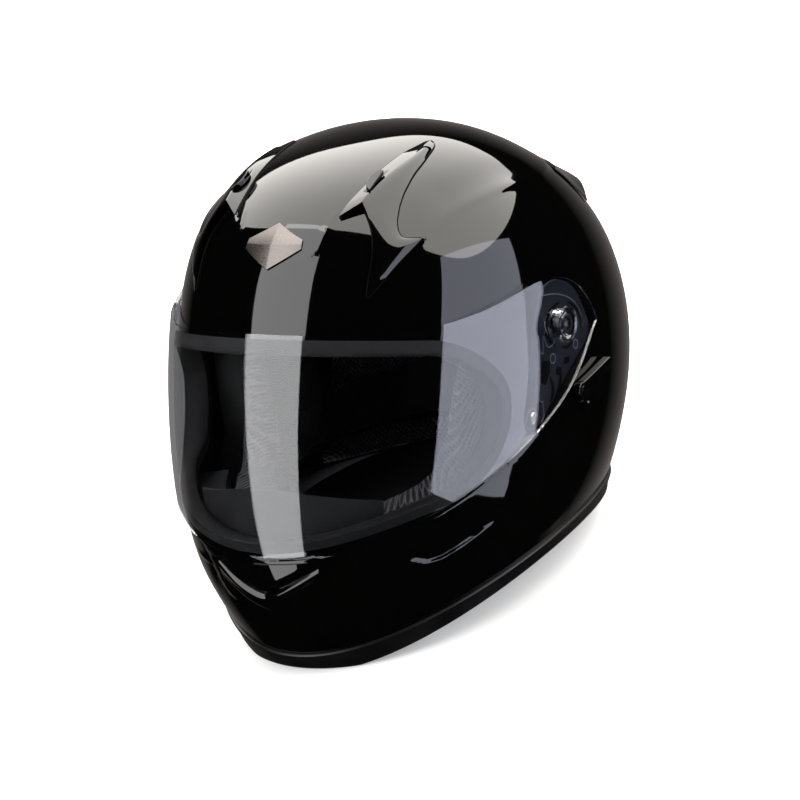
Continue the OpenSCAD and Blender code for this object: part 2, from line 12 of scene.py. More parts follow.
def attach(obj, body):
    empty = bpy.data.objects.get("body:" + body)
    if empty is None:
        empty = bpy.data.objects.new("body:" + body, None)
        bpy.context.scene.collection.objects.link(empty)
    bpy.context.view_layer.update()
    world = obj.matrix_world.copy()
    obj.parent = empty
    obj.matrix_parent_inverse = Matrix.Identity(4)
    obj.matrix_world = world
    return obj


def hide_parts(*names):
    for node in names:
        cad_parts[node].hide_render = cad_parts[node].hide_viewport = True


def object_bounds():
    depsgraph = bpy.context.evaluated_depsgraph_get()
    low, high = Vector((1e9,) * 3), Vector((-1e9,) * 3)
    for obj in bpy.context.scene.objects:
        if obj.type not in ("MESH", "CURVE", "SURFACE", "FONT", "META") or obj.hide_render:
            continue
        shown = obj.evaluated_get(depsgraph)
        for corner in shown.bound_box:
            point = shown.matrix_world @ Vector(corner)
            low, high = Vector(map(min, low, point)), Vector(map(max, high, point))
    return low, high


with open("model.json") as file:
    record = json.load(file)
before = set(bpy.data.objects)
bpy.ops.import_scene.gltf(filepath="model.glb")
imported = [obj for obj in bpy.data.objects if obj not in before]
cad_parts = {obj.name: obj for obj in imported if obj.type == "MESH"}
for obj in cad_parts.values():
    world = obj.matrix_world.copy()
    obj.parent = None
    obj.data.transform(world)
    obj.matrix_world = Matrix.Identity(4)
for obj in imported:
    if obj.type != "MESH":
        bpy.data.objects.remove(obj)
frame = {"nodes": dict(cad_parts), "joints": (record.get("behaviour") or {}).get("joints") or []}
CAD_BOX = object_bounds()
MM = 0.001
JOINT = {j["name"]: j for j in frame["joints"]}
PIVOT = np.array(JOINT["visor_hinge"]["pos_m"]) / MM
Y_SHIFT = -3.9
SEAT_AT = np.array([118.5, Y_SHIFT, 159.0])

# ---------------------------------------------------------------- the skin
# Control points of the outer skin from the crown to the rim, in millimetres:
# front and rear lines as (y, z), side line as (x, z).
FRONT = [(8, 275), (-72, 268), (-117, 223), (-149, 154), (-167, 89), (-170, 42), (-153, 0)]
REAR = [(8, 275), (70, 268), (132, 221), (179, 170), (184, 105), (156, 50), (138, 0)]
SIDE = [(0, 275), (66, 268), (110, 228), (125, 161), (127, 98), (119, 52), (105, 28)]
STATION_MM = 270.0
DEG_MM = 2.15


def spline(points, before, t):
    """Uniform cubic B-spline through the control list at stations t, 0 to 1."""
    p = np.array(points, float)
    n = len(p) - 1
    q = np.vstack([before, p, 2 * p[-1] - p[-2]])
    u = np.clip(t, 0, 1) * n
    i = np.minimum(u.astype(int), n - 1)
    f = (u - i)[..., None]
    return (
        (1 - f) ** 3 * q[i]
        + (3 * f**3 - 6 * f**2 + 4) * q[i + 1]
        + (-3 * f**3 + 3 * f**2 + 3 * f + 1) * q[i + 2]
        + f**3 * q[i + 3]
    ) / 6


def skin(angle, t):
    """Points on the outer skin in mm; angle 0 is the front and 90 the wearer's left."""
    angle, t = np.broadcast_arrays(np.asarray(angle, float), np.asarray(t, float))
    f = spline(FRONT, REAR[1], t)
    r = spline(REAR, FRONT[1], t)
    s = spline(SIDE, (-SIDE[1][0], SIDE[1][1]), t)
    c, w = np.cos(np.radians(angle)), np.sin(np.radians(angle))
    square_front, square_rear = 0.018 - 0.048 * t, 0.039 - 0.021 * t
    k = square_rear + (square_front - square_rear) * (0.5 + 0.5 * c)
    x = s[..., 0] * w * (1 + k * c * c)
    y = Y_SHIFT + (f[..., 0] + r[..., 0]) / 2
    y = y - (r[..., 0] - f[..., 0]) / 2 * c * (1 + k * w * w)
    z = s[..., 1] + (np.where(c > 0, f[..., 1], r[..., 1]) - s[..., 1]) * c * c
    return np.stack([x, y, z], -1)


def outward(angle, t):
    """Outward unit normals of the skin."""
    a = skin(angle + 0.25, t) - skin(angle - 0.25, t)
    b = skin(angle, np.minimum(t + 0.002, 1)) - skin(angle, np.maximum(t - 0.002, 0.0005))
    n = np.cross(b, a)
    length = np.linalg.norm(n, axis=-1, keepdims=True)
    return np.where(length < 1e-6, [0.0, 0.0, 1.0], n / np.maximum(length, 1e-9))


def off_skin(angle, t, o):
    o = np.asarray(o, float)
    return skin(angle, t) + outward(angle, t) * o[..., None]


def smooth(x):
    x = np.clip(x, 0, 1)
    return x * x * (3 - 2 * x)


def rounded_edge(angle, mid, edge, a1, a2):
    a = np.abs(angle)
    g = np.sqrt(np.clip(1 - ((a - a1) / (a2 - a1)) ** 2, 0, 1))
    return mid + (edge - mid) * np.where(a < a1, 1, g)


PORT_HALF, PORT_MID, PORT_END = 64.0, 0.56, 16.0
VISOR_HALF, VISOR_MID, VISOR_END = 95.0, 0.53, 21.0


def port_top(a):
    return rounded_edge(a, PORT_MID, 0.409 + 0.048 * (a / 50) ** 2, PORT_HALF - PORT_END, PORT_HALF)


def port_bottom(a):
    edge = 0.690 - 0.018 * np.sin(np.radians(1.5 * a)) ** 2
    return rounded_edge(a, PORT_MID, edge, PORT_HALF - PORT_END, PORT_HALF)


def visor_top(a):
    edge = 0.390 + 0.019 * (1 - np.cos(np.radians(2.8 * a)))
    return rounded_edge(a, VISOR_MID, edge, VISOR_HALF - VISOR_END, VISOR_HALF)


def visor_bottom(a):
    edge = 0.708 - 0.020 * np.abs(a / 46) ** 3
    return rounded_edge(a, VISOR_MID, edge, VISOR_HALF - 15, VISOR_HALF)


def span_angles(half, end, step, tip=15):
    """Angles from -half to half with steps that shrink into both rounded ends."""
    flat = half - end
    n = int(flat / step)
    right = flat * np.arange(1, n + 1) / n
    ends = flat + end * np.sin(np.radians(np.linspace(90 / tip, 90, tip)))
    right = np.concatenate([right, ends])
    return np.concatenate([-right[::-1], [0], right])


# ---------------------------------------------------------------- mesh tools


def link(obj):
    """Adds an object to the scene."""
    bpy.context.scene.collection.objects.link(obj)
    return obj


def unit(v):
    return v / np.linalg.norm(v, axis=-1, keepdims=True)


def bake(obj):
    """Applies an object's modifiers."""
    bpy.context.view_layer.update()
    graph = bpy.context.evaluated_depsgraph_get()
    mesh = bpy.data.meshes.new_from_object(obj.evaluated_get(graph))
    obj.modifiers.clear()
    obj.data = mesh
    return obj


def finish_mesh(name, verts, faces, material, sharp=40, weld=True):
    """Builds an object from millimetre vertices, with smooth faces and sharp creases."""
    mesh = bpy.data.meshes.new(name)
    mesh.from_pydata((np.asarray(verts) * MM).tolist(), [], faces)
    bm = bmesh.new()
    bm.from_mesh(mesh)
    if weld:
        bmesh.ops.remove_doubles(bm, verts=bm.verts, dist=2e-5)
        bmesh.ops.dissolve_degenerate(bm, edges=bm.edges, dist=1e-6)
    bmesh.ops.recalc_face_normals(bm, faces=bm.faces)
    for face in bm.faces:
        face.smooth = True
    limit = math.radians(sharp)
    for edge in bm.edges:
        if len(edge.link_faces) == 2 and edge.calc_face_angle(0) > limit:
            edge.smooth = False
    bm.to_mesh(mesh)
    bm.free()
    obj = link(bpy.data.objects.new(name, mesh))
    mesh.materials.append(material)
    return obj


def add_bevel(obj, width, segments=2, angle=32):
    bevel = obj.modifiers.new("edge", "BEVEL")
    bevel.width = width * MM
    bevel.segments = segments
    bevel.limit_method = "ANGLE"
    bevel.angle_limit = math.radians(angle)
    bevel.harden_normals = False
    return bevel


def grid_solid(name, outer, inner, material, wrap=False, **more):
    """Closed solid between two grids of points [column, row, xyz]."""
    nc, nr = outer.shape[:2]
    verts = np.concatenate([outer.reshape(-1, 3), inner.reshape(-1, 3)])
    half = nc * nr

    def at(side, i, j):
        return side * half + (i % nc) * nr + j

    faces = []
    last = nc if wrap else nc - 1
    for i in range(last):
        for j in range(nr - 1):
            faces.append((at(0, i, j), at(0, i, j + 1), at(0, i + 1, j + 1), at(0, i + 1, j)))
            faces.append((at(1, i, j), at(1, i + 1, j), at(1, i + 1, j + 1), at(1, i, j + 1)))
        faces.append((at(0, i, 0), at(0, i + 1, 0), at(1, i + 1, 0), at(1, i, 0)))
        e = nr - 1
        faces.append((at(0, i, e), at(1, i, e), at(1, i + 1, e), at(0, i + 1, e)))
    if not wrap:
        for j in range(nr - 1):
            faces.append((at(0, 0, j), at(1, 0, j), at(1, 0, j + 1), at(0, 0, j + 1)))
            e = nc - 1
            faces.append((at(0, e, j), at(0, e, j + 1), at(1, e, j + 1), at(1, e, j)))
    return finish_mesh(name, verts, faces, material, **more)


def skin_slab(name, angles, stations, rows, out, inn, material, wrap=False, **more):
    """Solid on the skin between two offsets, each a number or a function of (angle, t).
    Stations are the two ends of every column, as numbers or as a function of the angle."""
    a = np.asarray(angles, float)[:, None]
    low, high = (end + 0 * a for end in (stations(a) if callable(stations) else stations))
    t = low + (high - low) * np.linspace(0, 1, rows)[None, :]
    a = np.broadcast_to(a, t.shape)
    offsets = [o(a, t) if callable(o) else np.full(t.shape, float(o)) for o in (out, inn)]
    return grid_solid(name, *[off_skin(a, t, o) for o in offsets], material, wrap, **more)


def ring_solid(name, rings, material, closed=True, **more):
    """Solid swept through sections [station, point, xyz]; closed joins its two ends."""
    n, m = rings.shape[:2]
    faces = [] if closed else [tuple(range(m))[::-1], tuple(range((n - 1) * m, n * m))]
    for i in range(n if closed else n - 1):
        for j in range(m):
            k, e = (i + 1) % n, (j + 1) % m
            faces.append((i * m + j, i * m + e, k * m + e, k * m + j))
    return finish_mesh(name, rings.reshape(-1, 3), faces, material, **more)


def revolve(name, profile, material, matrix, steps=64, **more):
    """Solid of revolution about local Z from a closed profile of (radius, height) in mm."""
    ang = np.linspace(0, 2 * np.pi, steps, endpoint=False)
    p = np.array(profile, float)
    rings = np.stack(
        [p[None, :, 0] * np.cos(ang)[:, None], p[None, :, 0] * np.sin(ang)[:, None],
         np.broadcast_to(p[None, :, 1], (steps, len(p)))], -1)
    rings = place(rings, matrix)
    return ring_solid(name, rings, material, **more)


def place(points, matrix):
    """Applies a 4x4 matrix in millimetres to an array of points."""
    m = np.array(matrix)
    return points @ m[:3, :3].T + m[:3, 3]


def prism(name, outline, height, material, matrix, **more):
    """Solid from a closed 2D outline raised along local Z."""
    p = np.array(outline, float)
    n = len(p)
    low = np.column_stack([p, np.zeros(n)])
    top = np.column_stack([p, np.full(n, float(height))])
    faces = [tuple(range(n))[::-1], tuple(range(n, 2 * n))]
    faces += [(i, (i + 1) % n, n + (i + 1) % n, n + i) for i in range(n)]
    return finish_mesh(name, place(np.concatenate([low, top]), matrix), faces, material, **more)


def tube(name, points, radius, material, matrix=None, closed=False, sides=10):
    """Round bar along a smooth path, built as a mesh."""
    p = np.array(points, float)
    if matrix is not None:
        p = place(p, matrix)
    nxt, prv = np.roll(p, -1, 0), np.roll(p, 1, 0)
    if not closed:
        nxt[-1], prv[0] = p[-1], p[0]
    d = unit(nxt - prv)
    ref = np.where(np.abs(d[:, 2:3]) > 0.9, [[1.0, 0, 0]], [[0, 0, 1.0]])
    u = unit(np.cross(d, ref))
    v = np.cross(d, u)
    ang = np.linspace(0, 2 * np.pi, sides, endpoint=False)
    reach = u[:, None] * np.cos(ang)[None, :, None] + v[:, None] * np.sin(ang)[None, :, None]
    return ring_solid(name, p[:, None] + radius * reach, material, closed=closed)


def mirrored(obj, name):
    """Copy of a left-hand piece for the right-hand side, modifiers included."""
    other = obj.copy()
    other.data = obj.data.copy()
    other.name = other.data.name = name
    other.data.transform(Matrix.Scale(-1, 4, (1, 0, 0)))
    other.data.flip_normals()
    return link(other)


def catmull(points, per=8, closed=False):
    """Smooth curve through given points."""
    p = np.array(points, float)
    n = len(p)
    out = []
    for i in range(n if closed else n - 1):
        if closed:
            a, b, c, d = p[(i - 1) % n], p[i], p[(i + 1) % n], p[(i + 2) % n]
        else:
            a, b, c, d = p[max(i - 1, 0)], p[i], p[i + 1], p[min(i + 2, n - 1)]
        for f in np.arange(per) / per:
            out.append(0.5 * (2 * b + (c - a) * f + (2 * a - 5 * b + 4 * c - d) * f**2
                              + (3 * b - a - 3 * c + d) * f**3))
    if not closed:
        out.append(p[-1])
    return np.array(out)


# ---------------------------------------------------------------- materials


def new_material(name, color, roughness, **sockets):
    mat = bpy.data.materials.new(name)
    mat.use_nodes = True
    shader = mat.node_tree.nodes["Principled BSDF"]
    shader.inputs["Base Color"].default_value = (*color, 1)
    shader.inputs["Roughness"].default_value = roughness
    for key, value in sockets.items():
        shader.inputs[key.replace("_", " ")].default_value = value
    return mat, mat.node_tree, shader


def object_coords(tree, scale=1000.0):
    coords = tree.nodes.new("ShaderNodeTexCoord")
    mapping = tree.nodes.new("ShaderNodeMapping")
    mapping.inputs["Scale"].default_value = (scale,) * 3
    tree.links.new(coords.outputs["Object"], mapping.inputs["Vector"])
    return mapping.outputs["Vector"]


def noise(tree, vector, scale, detail=3.0, roughness=0.5):
    n = tree.nodes.new("ShaderNodeTexNoise")
    n.inputs["Scale"].default_value = scale
    n.inputs["Detail"].default_value = detail
    n.inputs["Roughness"].default_value = roughness
    tree.links.new(vector, n.inputs["Vector"])
    return n.outputs["Fac"]


def ramp(tree, value, low, high, a, b):
    n = tree.nodes.new("ShaderNodeMapRange")
    for key, x in zip(("From Min", "From Max", "To Min", "To Max"), (low, high, a, b)):
        n.inputs[key].default_value = x
    tree.links.new(value, n.inputs["Value"])
    return n.outputs["Result"]


def color_mix(tree, factor, a, b):
    """Mix from a to b, each a colour or another node's output."""
    n = tree.nodes.new("ShaderNodeMix")
    n.data_type = "RGBA"
    for k, x in ((6, a), (7, b)):
        if isinstance(x, tuple):
            n.inputs[k].default_value = (*x, 1)
        else:
            tree.links.new(x, n.inputs[k])
    tree.links.new(factor, n.inputs[0])
    return n.outputs[2]


def bump(tree, shader, height, strength, distance=0.2):
    n = tree.nodes.new("ShaderNodeBump")
    n.inputs["Strength"].default_value = strength
    n.inputs["Distance"].default_value = distance * MM
    tree.links.new(height, n.inputs["Height"])
    tree.links.new(n.outputs["Normal"], shader.inputs["Normal"])


def lacquer(name, color=(0.0004, 0.0004, 0.0004), roughness=0.025, peel=0.02):
    """Gloss black paint under clear coat: faint orange peel, haze and dust-fine scratches."""
    mat, tree, shader = new_material(name, color, roughness, IOR=1.5)
    vec = object_coords(tree)
    haze = noise(tree, vec, 0.02, 4)
    tree.links.new(ramp(tree, haze, 0.3, 0.75, roughness * 0.7, roughness * 1.9),
                   shader.inputs["Roughness"])
    tree.links.new(color_mix(tree, noise(tree, vec, 0.9, 2), color,
                             tuple(c * 1.8 for c in color)), shader.inputs["Base Color"])
    bump(tree, shader, noise(tree, vec, 0.16, 2), peel, 0.1)
    return mat


def plastic(name, color, roughness, grain=0.25, scale=2.4, wear=1.5, specular=0.5):
    """Moulded plastic or rubber with a fine spark-eroded grain."""
    mat, tree, shader = new_material(name, color, roughness, Specular_IOR_Level=specular)
    vec = object_coords(tree)
    cloud = noise(tree, vec, 0.05, 4)
    tree.links.new(color_mix(tree, ramp(tree, cloud, 0.3, 0.7, 0, 1), color,
                             tuple(min(1, c * wear) for c in color)), shader.inputs["Base Color"])
    tree.links.new(ramp(tree, cloud, 0.3, 0.7, roughness * 0.85, min(1, roughness * 1.2)),
                   shader.inputs["Roughness"])
    bump(tree, shader, noise(tree, vec, scale, 2), grain, 0.12)
    return mat


def metal(name, color, roughness, brush=(1.0, 1.0, 1.0)):
    """Satin metal with fine directional brushing."""
    mat, tree, shader = new_material(name, color, roughness, Metallic=1.0)
    vec = object_coords(tree)
    stretch = tree.nodes.new("ShaderNodeMapping")
    stretch.inputs["Scale"].default_value = brush
    tree.links.new(vec, stretch.inputs["Vector"])
    grain = noise(tree, stretch.outputs["Vector"], 3.0, 3)
    tree.links.new(ramp(tree, grain, 0.3, 0.7, roughness * 0.75, roughness * 1.35),
                   shader.inputs["Roughness"])
    tree.links.new(color_mix(tree, grain, tuple(c * 0.86 for c in color), color),
                   shader.inputs["Base Color"])
    bump(tree, shader, grain, 0.06, 0.05)
    return mat


def math_node(tree, operation, a, b=None):
    n = tree.nodes.new("ShaderNodeMath")
    n.operation = operation
    for k, x in enumerate((a, b)):
        if x is None:
            continue
        if isinstance(x, (int, float)):
            n.inputs[k].default_value = x
        else:
            tree.links.new(x, n.inputs[k])
    return n.outputs[0]


def mesh_cloth(name, base, thread, cell=2.7, radius=82.0):
    """Open warp-knit mesh: rows of diamond holes, laid round the inside of the helmet."""
    mat, tree, shader = new_material(name, base, 0.95, Sheen_Weight=0.01, Sheen_Roughness=0.5)
    vec = object_coords(tree)
    split = tree.nodes.new("ShaderNodeSeparateXYZ")
    tree.links.new(vec, split.inputs["Vector"])
    x, y, z = split.outputs
    turn = math_node(tree, "ARCTAN2", x, math_node(tree, "MULTIPLY", y, -1.0))
    f = math.pi / cell
    u = math_node(tree, "MULTIPLY", turn, radius * f)
    v = math_node(tree, "MULTIPLY", z, f * 0.72)
    one = math_node(tree, "SINE", math_node(tree, "ADD", u, v))
    two = math_node(tree, "SINE", math_node(tree, "SUBTRACT", u, v))
    hole = math_node(tree, "ABSOLUTE", math_node(tree, "MULTIPLY", one, two))
    open_mask = ramp(tree, hole, 0.18, 0.5, 1, 0)
    worn = ramp(tree, noise(tree, vec, 0.08, 3), 0.3, 0.7, 0.55, 1)
    shade = math_node(tree, "MULTIPLY", open_mask, worn)
    tree.links.new(color_mix(tree, shade, base, thread), shader.inputs["Base Color"])
    bump(tree, shader, open_mask, 0.8, 0.5)
    return mat


def webbing_cloth(name, color, rib=1.6, axis="Y"):
    """Flat woven webbing with fine herringbone ribs."""
    mat, tree, shader = new_material(name, color, 0.75, Sheen_Weight=0.02, Sheen_Roughness=0.4)
    vec = object_coords(tree)
    wave = tree.nodes.new("ShaderNodeTexWave")
    wave.wave_type, wave.bands_direction = "BANDS", axis
    wave.inputs["Scale"].default_value = 0.314 / rib
    wave.inputs["Distortion"].default_value = 1.2
    wave.inputs["Detail Scale"].default_value = 3.0
    tree.links.new(vec, wave.inputs["Vector"])
    tree.links.new(color_mix(tree, wave.outputs["Fac"], color, tuple(c * 2.4 for c in color)),
                   shader.inputs["Base Color"])
    bump(tree, shader, wave.outputs["Fac"], 0.5, 0.3)
    return mat


def foam_beads(name, color):
    """Expanded polystyrene: fused beads with fine seams."""
    mat, tree, shader = new_material(name, color, 0.8)
    vec = object_coords(tree)
    cells = tree.nodes.new("ShaderNodeTexVoronoi")
    cells.feature = "DISTANCE_TO_EDGE"
    cells.inputs["Scale"].default_value = 0.32
    tree.links.new(vec, cells.inputs["Vector"])
    seam = ramp(tree, cells.outputs["Distance"], 0.0, 0.08, 0, 1)
    tree.links.new(color_mix(tree, seam, tuple(c * 0.5 for c in color), color),
                   shader.inputs["Base Color"])
    bump(tree, shader, seam, 0.4, 0.3)
    return mat


def clear_plastic(name, tint, ior=1.33, rough=0.004):
    """Polished clear plastic that lets lamp light through to what is behind it."""
    mat, tree, shader = new_material(name, tint, rough, IOR=ior, Transmission_Weight=1.0)
    vec = object_coords(tree)
    tree.links.new(ramp(tree, noise(tree, vec, 0.03, 3), 0.3, 0.8, rough, rough * 4 + 0.004),
                   shader.inputs["Roughness"])
    out = tree.nodes["Material Output"]
    path = tree.nodes.new("ShaderNodeLightPath")
    clear = tree.nodes.new("ShaderNodeBsdfTransparent")
    clear.inputs["Color"].default_value = tuple(0.9 * c for c in tint) + (1,)
    mix = tree.nodes.new("ShaderNodeMixShader")
    tree.links.new(path.outputs["Is Shadow Ray"], mix.inputs[0])
    tree.links.new(shader.outputs[0], mix.inputs[1])
    tree.links.new(clear.outputs[0], mix.inputs[2])
    tree.links.new(mix.outputs[0], out.inputs["Surface"])
    return mat


MAT_SHELL = lacquer("gloss_black_shell")
MAT_TRIM = lacquer("gloss_black_trim", (0.0005, 0.0005, 0.0005), 0.03, 0.01)
MAT_EDGE = plastic("edge_rubber", (0.0022, 0.0021, 0.0022), 0.42, 0.18)
MAT_GASKET = plastic("gasket_rubber", (0.006, 0.006, 0.0062), 0.55, 0.3, specular=0.14)
MAT_SLATE = plastic("slate_plastic", (0.0040, 0.0047, 0.0078), 0.36, 0.15, specular=0.14)
# Pale grey, far lighter than the slate plate: painted highlight along its raised ribs.
MAT_RIB_HIGHLIGHT = plastic("plate_rib_highlight", (0.055, 0.060, 0.075), 0.3, 0.1, specular=0.4)
# Near-black matte with almost no reflection: painted shade for sunk shapes and gaps.
MAT_PAINTED_SHADE = plastic("painted_recess_shade", (0.0004, 0.0004, 0.0006), 0.5, 0.2, specular=0.05)
MAT_NYLON = plastic("black_nylon", (0.0035, 0.0035, 0.0037), 0.5, 0.2, specular=0.14)
MAT_RED = plastic("red_latch", (0.30, 0.010, 0.010), 0.35, 0.12)
MAT_SCREW = metal("screw_steel", (0.48, 0.47, 0.46), 0.24)
MAT_STEEL = metal("stamped_steel", (0.55, 0.56, 0.58), 0.3, (1.0, 0.1, 1.0))
MAT_BADGE = metal("badge_nickel", (0.145, 0.130, 0.123), 0.27, (0.1, 2.0, 2.0))
MAT_MESH = mesh_cloth("mesh_fabric", (0.0015, 0.0015, 0.0016), (0.11, 0.104, 0.11))
MAT_WEB = webbing_cloth("webbing", (0.004, 0.004, 0.0043))
MAT_FOAM = foam_beads("black_foam", (0.006, 0.006, 0.0063))
MAT_VISOR = clear_plastic("clear_visor", (0.955, 0.965, 0.985), 1.5)
MAT_LENS = clear_plastic("clear_ring", (0.93, 0.95, 0.99), 1.5, 0.02)

# ---------------------------------------------------------------- the view


# Camera solved against the photo: turn, rise and roll in degrees, lens and sensor in mm
CAMERA_TURN, CAMERA_RISE, CAMERA_ROLL = 35.05, 20.63, 10.79
CAMERA_TARGET, CAMERA_REACH = (0.03911, -0.06119, 0.13045), 1.801
CAMERA_LENS, CAMERA_SENSOR = 138.15, 36
LAMP_CENTRE, LAMP_REACH = Vector((0, -0.02, 0.14)), 2
DIM_WORLD, GLOW_WORLD, GREY_BEHIND = (0.004, 0.0035, 0.003), (0.22, 0.20, 0.19), (0.26, 0.26, 0.27)
FLOOR_HALF, FLOOR_DROP, FLOOR_GLOW = 20, -0.0005, 0.32
# Dark disc in the neck opening: a near-black sheet of painted shade.
SHADE_DISC_CENTRE_Y, SHADE_DISC_HALF, SHADE_DISC_RISE = -0.006, (0.088, 0.112), 0.036


def around(azimuth, rise):
    """Unit vector from the helmet; azimuth 0 is the front, 90 its left."""
    a, e = math.radians(azimuth), math.radians(rise)
    return Vector((math.sin(a) * math.cos(e), -math.cos(a) * math.cos(e), math.sin(e)))


def stand(obj, x, y, z, spot):
    """Places an object by its three axes and its origin."""
    obj.matrix_world = Matrix([[v[i] for v in (x, y, z, spot)] for i in range(3)] + [(0, 0, 0, 1)])
    return link(obj)


def rig_camera():
    """Long lens from the front left of the helmet, a little above it, rolled to one side."""
    turn, roll = math.radians(CAMERA_TURN), math.radians(CAMERA_ROLL)
    back = around(CAMERA_TURN, CAMERA_RISE)
    right = Vector((math.cos(turn), math.sin(turn), 0))
    up = back.cross(right)
    right, up = (right * math.cos(roll) - up * math.sin(roll),
                 right * math.sin(roll) + up * math.cos(roll))
    data = bpy.data.cameras.new("camera")
    data.lens, data.sensor_width = CAMERA_LENS, CAMERA_SENSOR
    data.clip_end = 100
    spot = Vector(CAMERA_TARGET) + back * CAMERA_REACH
    bpy.context.scene.camera = stand(bpy.data.objects.new("camera", data), right, up, back, spot)


def area_light(name, spot, way, size, power, color=(1, 1, 1), lean=0.0, shape="RECTANGLE"):
    """Soft light at a spot that shines against the given way, leaning by some degrees."""
    data = bpy.data.lights.new(name, "AREA")
    data.shape, data.size, data.size_y = shape, size[0], size[1]
    data.energy, data.color = power, color
    z = Vector(way).normalized()
    side = Vector((-z.y, z.x, 0)).normalized() if abs(z.z) < 0.99 else Vector((1, 0, 0))
    up = z.cross(side)
    y = up * math.cos(math.radians(lean)) + side * math.sin(math.radians(lean))
    stand(bpy.data.objects.new(name, data), y.cross(z), y, z, spot)


def lamps():
    """Warm overhead softbox, a tall strip in front and a cool panel on the helmet's left."""
    area_light("overhead_softbox", (0.3, 1.55, 1.72), (0, 0, 1), (6.8, 4.0), 310,
               color=(1.0, 0.965, 0.92), shape="ELLIPSE")
    way = around(-23, 27)
    area_light("front_strip", LAMP_CENTRE + LAMP_REACH * way, way, (1.28, 4.5), 73, lean=-17)
    way = around(96.5, 2.8)
    area_light("side_panel", LAMP_CENTRE + LAMP_REACH * way, way, (1.62, 2.05), 32,
               color=(0.83, 0.86, 1.0), lean=24)


def backdrop():
    """White behind the helmet for the camera; dim, with a soft glow at the back, for the rest."""
    world = bpy.data.worlds.new("studio")
    world.use_nodes = True
    tree = world.node_tree
    coords = tree.nodes.new("ShaderNodeTexCoord")
    toward = tree.nodes.new("ShaderNodeVectorMath")
    toward.operation = "DOT_PRODUCT"
    toward.inputs[1].default_value = around(-144.95, -20.6)
    tree.links.new(coords.outputs["Generated"], toward.inputs[0])
    glow = ramp(tree, toward.outputs["Value"], 0.72, 0.97, 0.0, 1.0)
    path = tree.nodes.new("ShaderNodeLightPath")
    behind = math_node(tree, "MULTIPLY", glow, path.outputs["Is Transmission Ray"])
    seen = color_mix(tree, behind, color_mix(tree, glow, DIM_WORLD, GLOW_WORLD), GREY_BEHIND)
    mix = color_mix(tree, path.outputs["Is Camera Ray"], seen, (1, 1, 1))
    tree.links.new(mix, tree.nodes["Background"].inputs["Color"])
    bpy.context.scene.world = world
    bpy.context.scene.view_settings.view_transform = "Standard"


def stage_sheet(name, outline, color, rise):
    """Flat sheet near the ground; glossy paint doesn't mirror it."""
    paper = new_material(name + "_paper", color, 0.9)[0]
    mesh = bpy.data.meshes.new(name)
    mesh.from_pydata([(x, y, 0) for x, y in outline], [], [tuple(range(len(outline)))])
    sheet = bpy.data.objects.new(name, mesh)
    mesh.materials.append(paper)
    sheet.location.z = CAD_BOX[0][2] + rise
    sheet.visible_glossy = False
    link(sheet)
    return sheet


def ground():
    """Pale floor, and a dark disc in the neck opening: a sheet of painted shade that keeps the inside dark.
    """
    f = FLOOR_HALF
    floor = stage_sheet("floor", [(-f, -f), (f, -f), (f, f), (-f, f)], (0.82, 0.82, 0.82), FLOOR_DROP)
    floor.visible_transmission = False
    paper = floor.data.materials[0].node_tree.nodes["Principled BSDF"]
    paper.inputs["Emission Color"].default_value = (1, 1, 1, 1)
    paper.inputs["Emission Strength"].default_value = FLOOR_GLOW
    g = np.linspace(0, 2 * math.pi, 64, endpoint=False)
    disc = np.column_stack([SHADE_DISC_HALF[0] * np.cos(g), SHADE_DISC_CENTRE_Y + SHADE_DISC_HALF[1] * np.sin(g)])
    stage_sheet("painted_shade_disc", disc.tolist(), (0.002, 0.002, 0.002), SHADE_DISC_RISE)


# ---------------------------------------------------------------- the shell


SHELL_RIM = 0.985


def wall_at(a, t):
    """Thickness of the shell in mm: 4, and up to 10 behind the side pockets."""
    a = np.abs(np.where(a > 180, a - 360, a))
    return 4 + 6 * smooth(2 * (1 - ((a - 76) / 30) ** 2 - ((t - 0.55) / 0.19) ** 2))


def line_at(points, x):
    """Height of a smooth line through given points (x, y), clamped at both ends."""
    p = catmull(points, 10)
    return np.interp(x, p[:, 0], p[:, 1])


# Moulded lines as (angle, station); BROW and CREASE as (station, angle)
CREST = [(46, 0.312), (52.6, 0.2955), (56.8, 0.288), (61.6, 0.281), (69, 0.2745), (76.9, 0.273),
         (86.9, 0.276), (95.2, 0.283), (104, 0.296), (116, 0.308), (131, 0.314), (150, 0.318)]
BROW = [(0.204, 26.2), (0.227, 22.2), (0.253, 19.4), (0.272, 17.8), (0.288, 12), (0.295, 8.6)]
CREASE = [(0.700, 26.0), (0.712, 25.2), (0.735, 22.8), (0.769, 20.0), (0.79, 18.8), (0.83, 15.0)]
SCOOP = [(38.5, 0.767), (44.3, 0.741), (49.0, 0.765), (58.0, 0.762), (59.8, 0.767), (53.5, 0.784),
         (47.2, 0.795), (43.5, 0.792)]
LOW_FOLD = [(60, 0.905), (69.6, 0.898), (77.8, 0.889), (95, 0.872)]


def across(points, x):
    """Straight lines through points (x, y), clamped at both ends."""
    return np.interp(x, [p[0] for p in points], [p[1] for p in points])


def inside(points, a, t):
    """Signed distance in mm into a polygon given as (angle, t) corners."""
    scale = np.array([DEG_MM, STATION_MM])
    p = np.array(points) * scale
    x = np.stack([a * scale[0], t * scale[1]], -1)
    near = np.full(a.shape, 1e9)
    odd = np.zeros(a.shape, bool)
    for b, c in zip(p, np.roll(p, -1, 0)):
        e, w = c - b, x - b
        f = np.clip((w @ e) / (e @ e), 0, 1)
        near = np.minimum(near, np.hypot(*np.moveaxis(w - f[..., None] * e, -1, 0)))
        cross = (b[1] > x[..., 1]) != (c[1] > x[..., 1])
        with np.errstate(divide="ignore", invalid="ignore"):
            odd ^= cross & (x[..., 0] < b[0] + (x[..., 1] - b[1]) / (c[1] - b[1] + 1e-12) * e[0])
    return np.where(odd, near, -near)


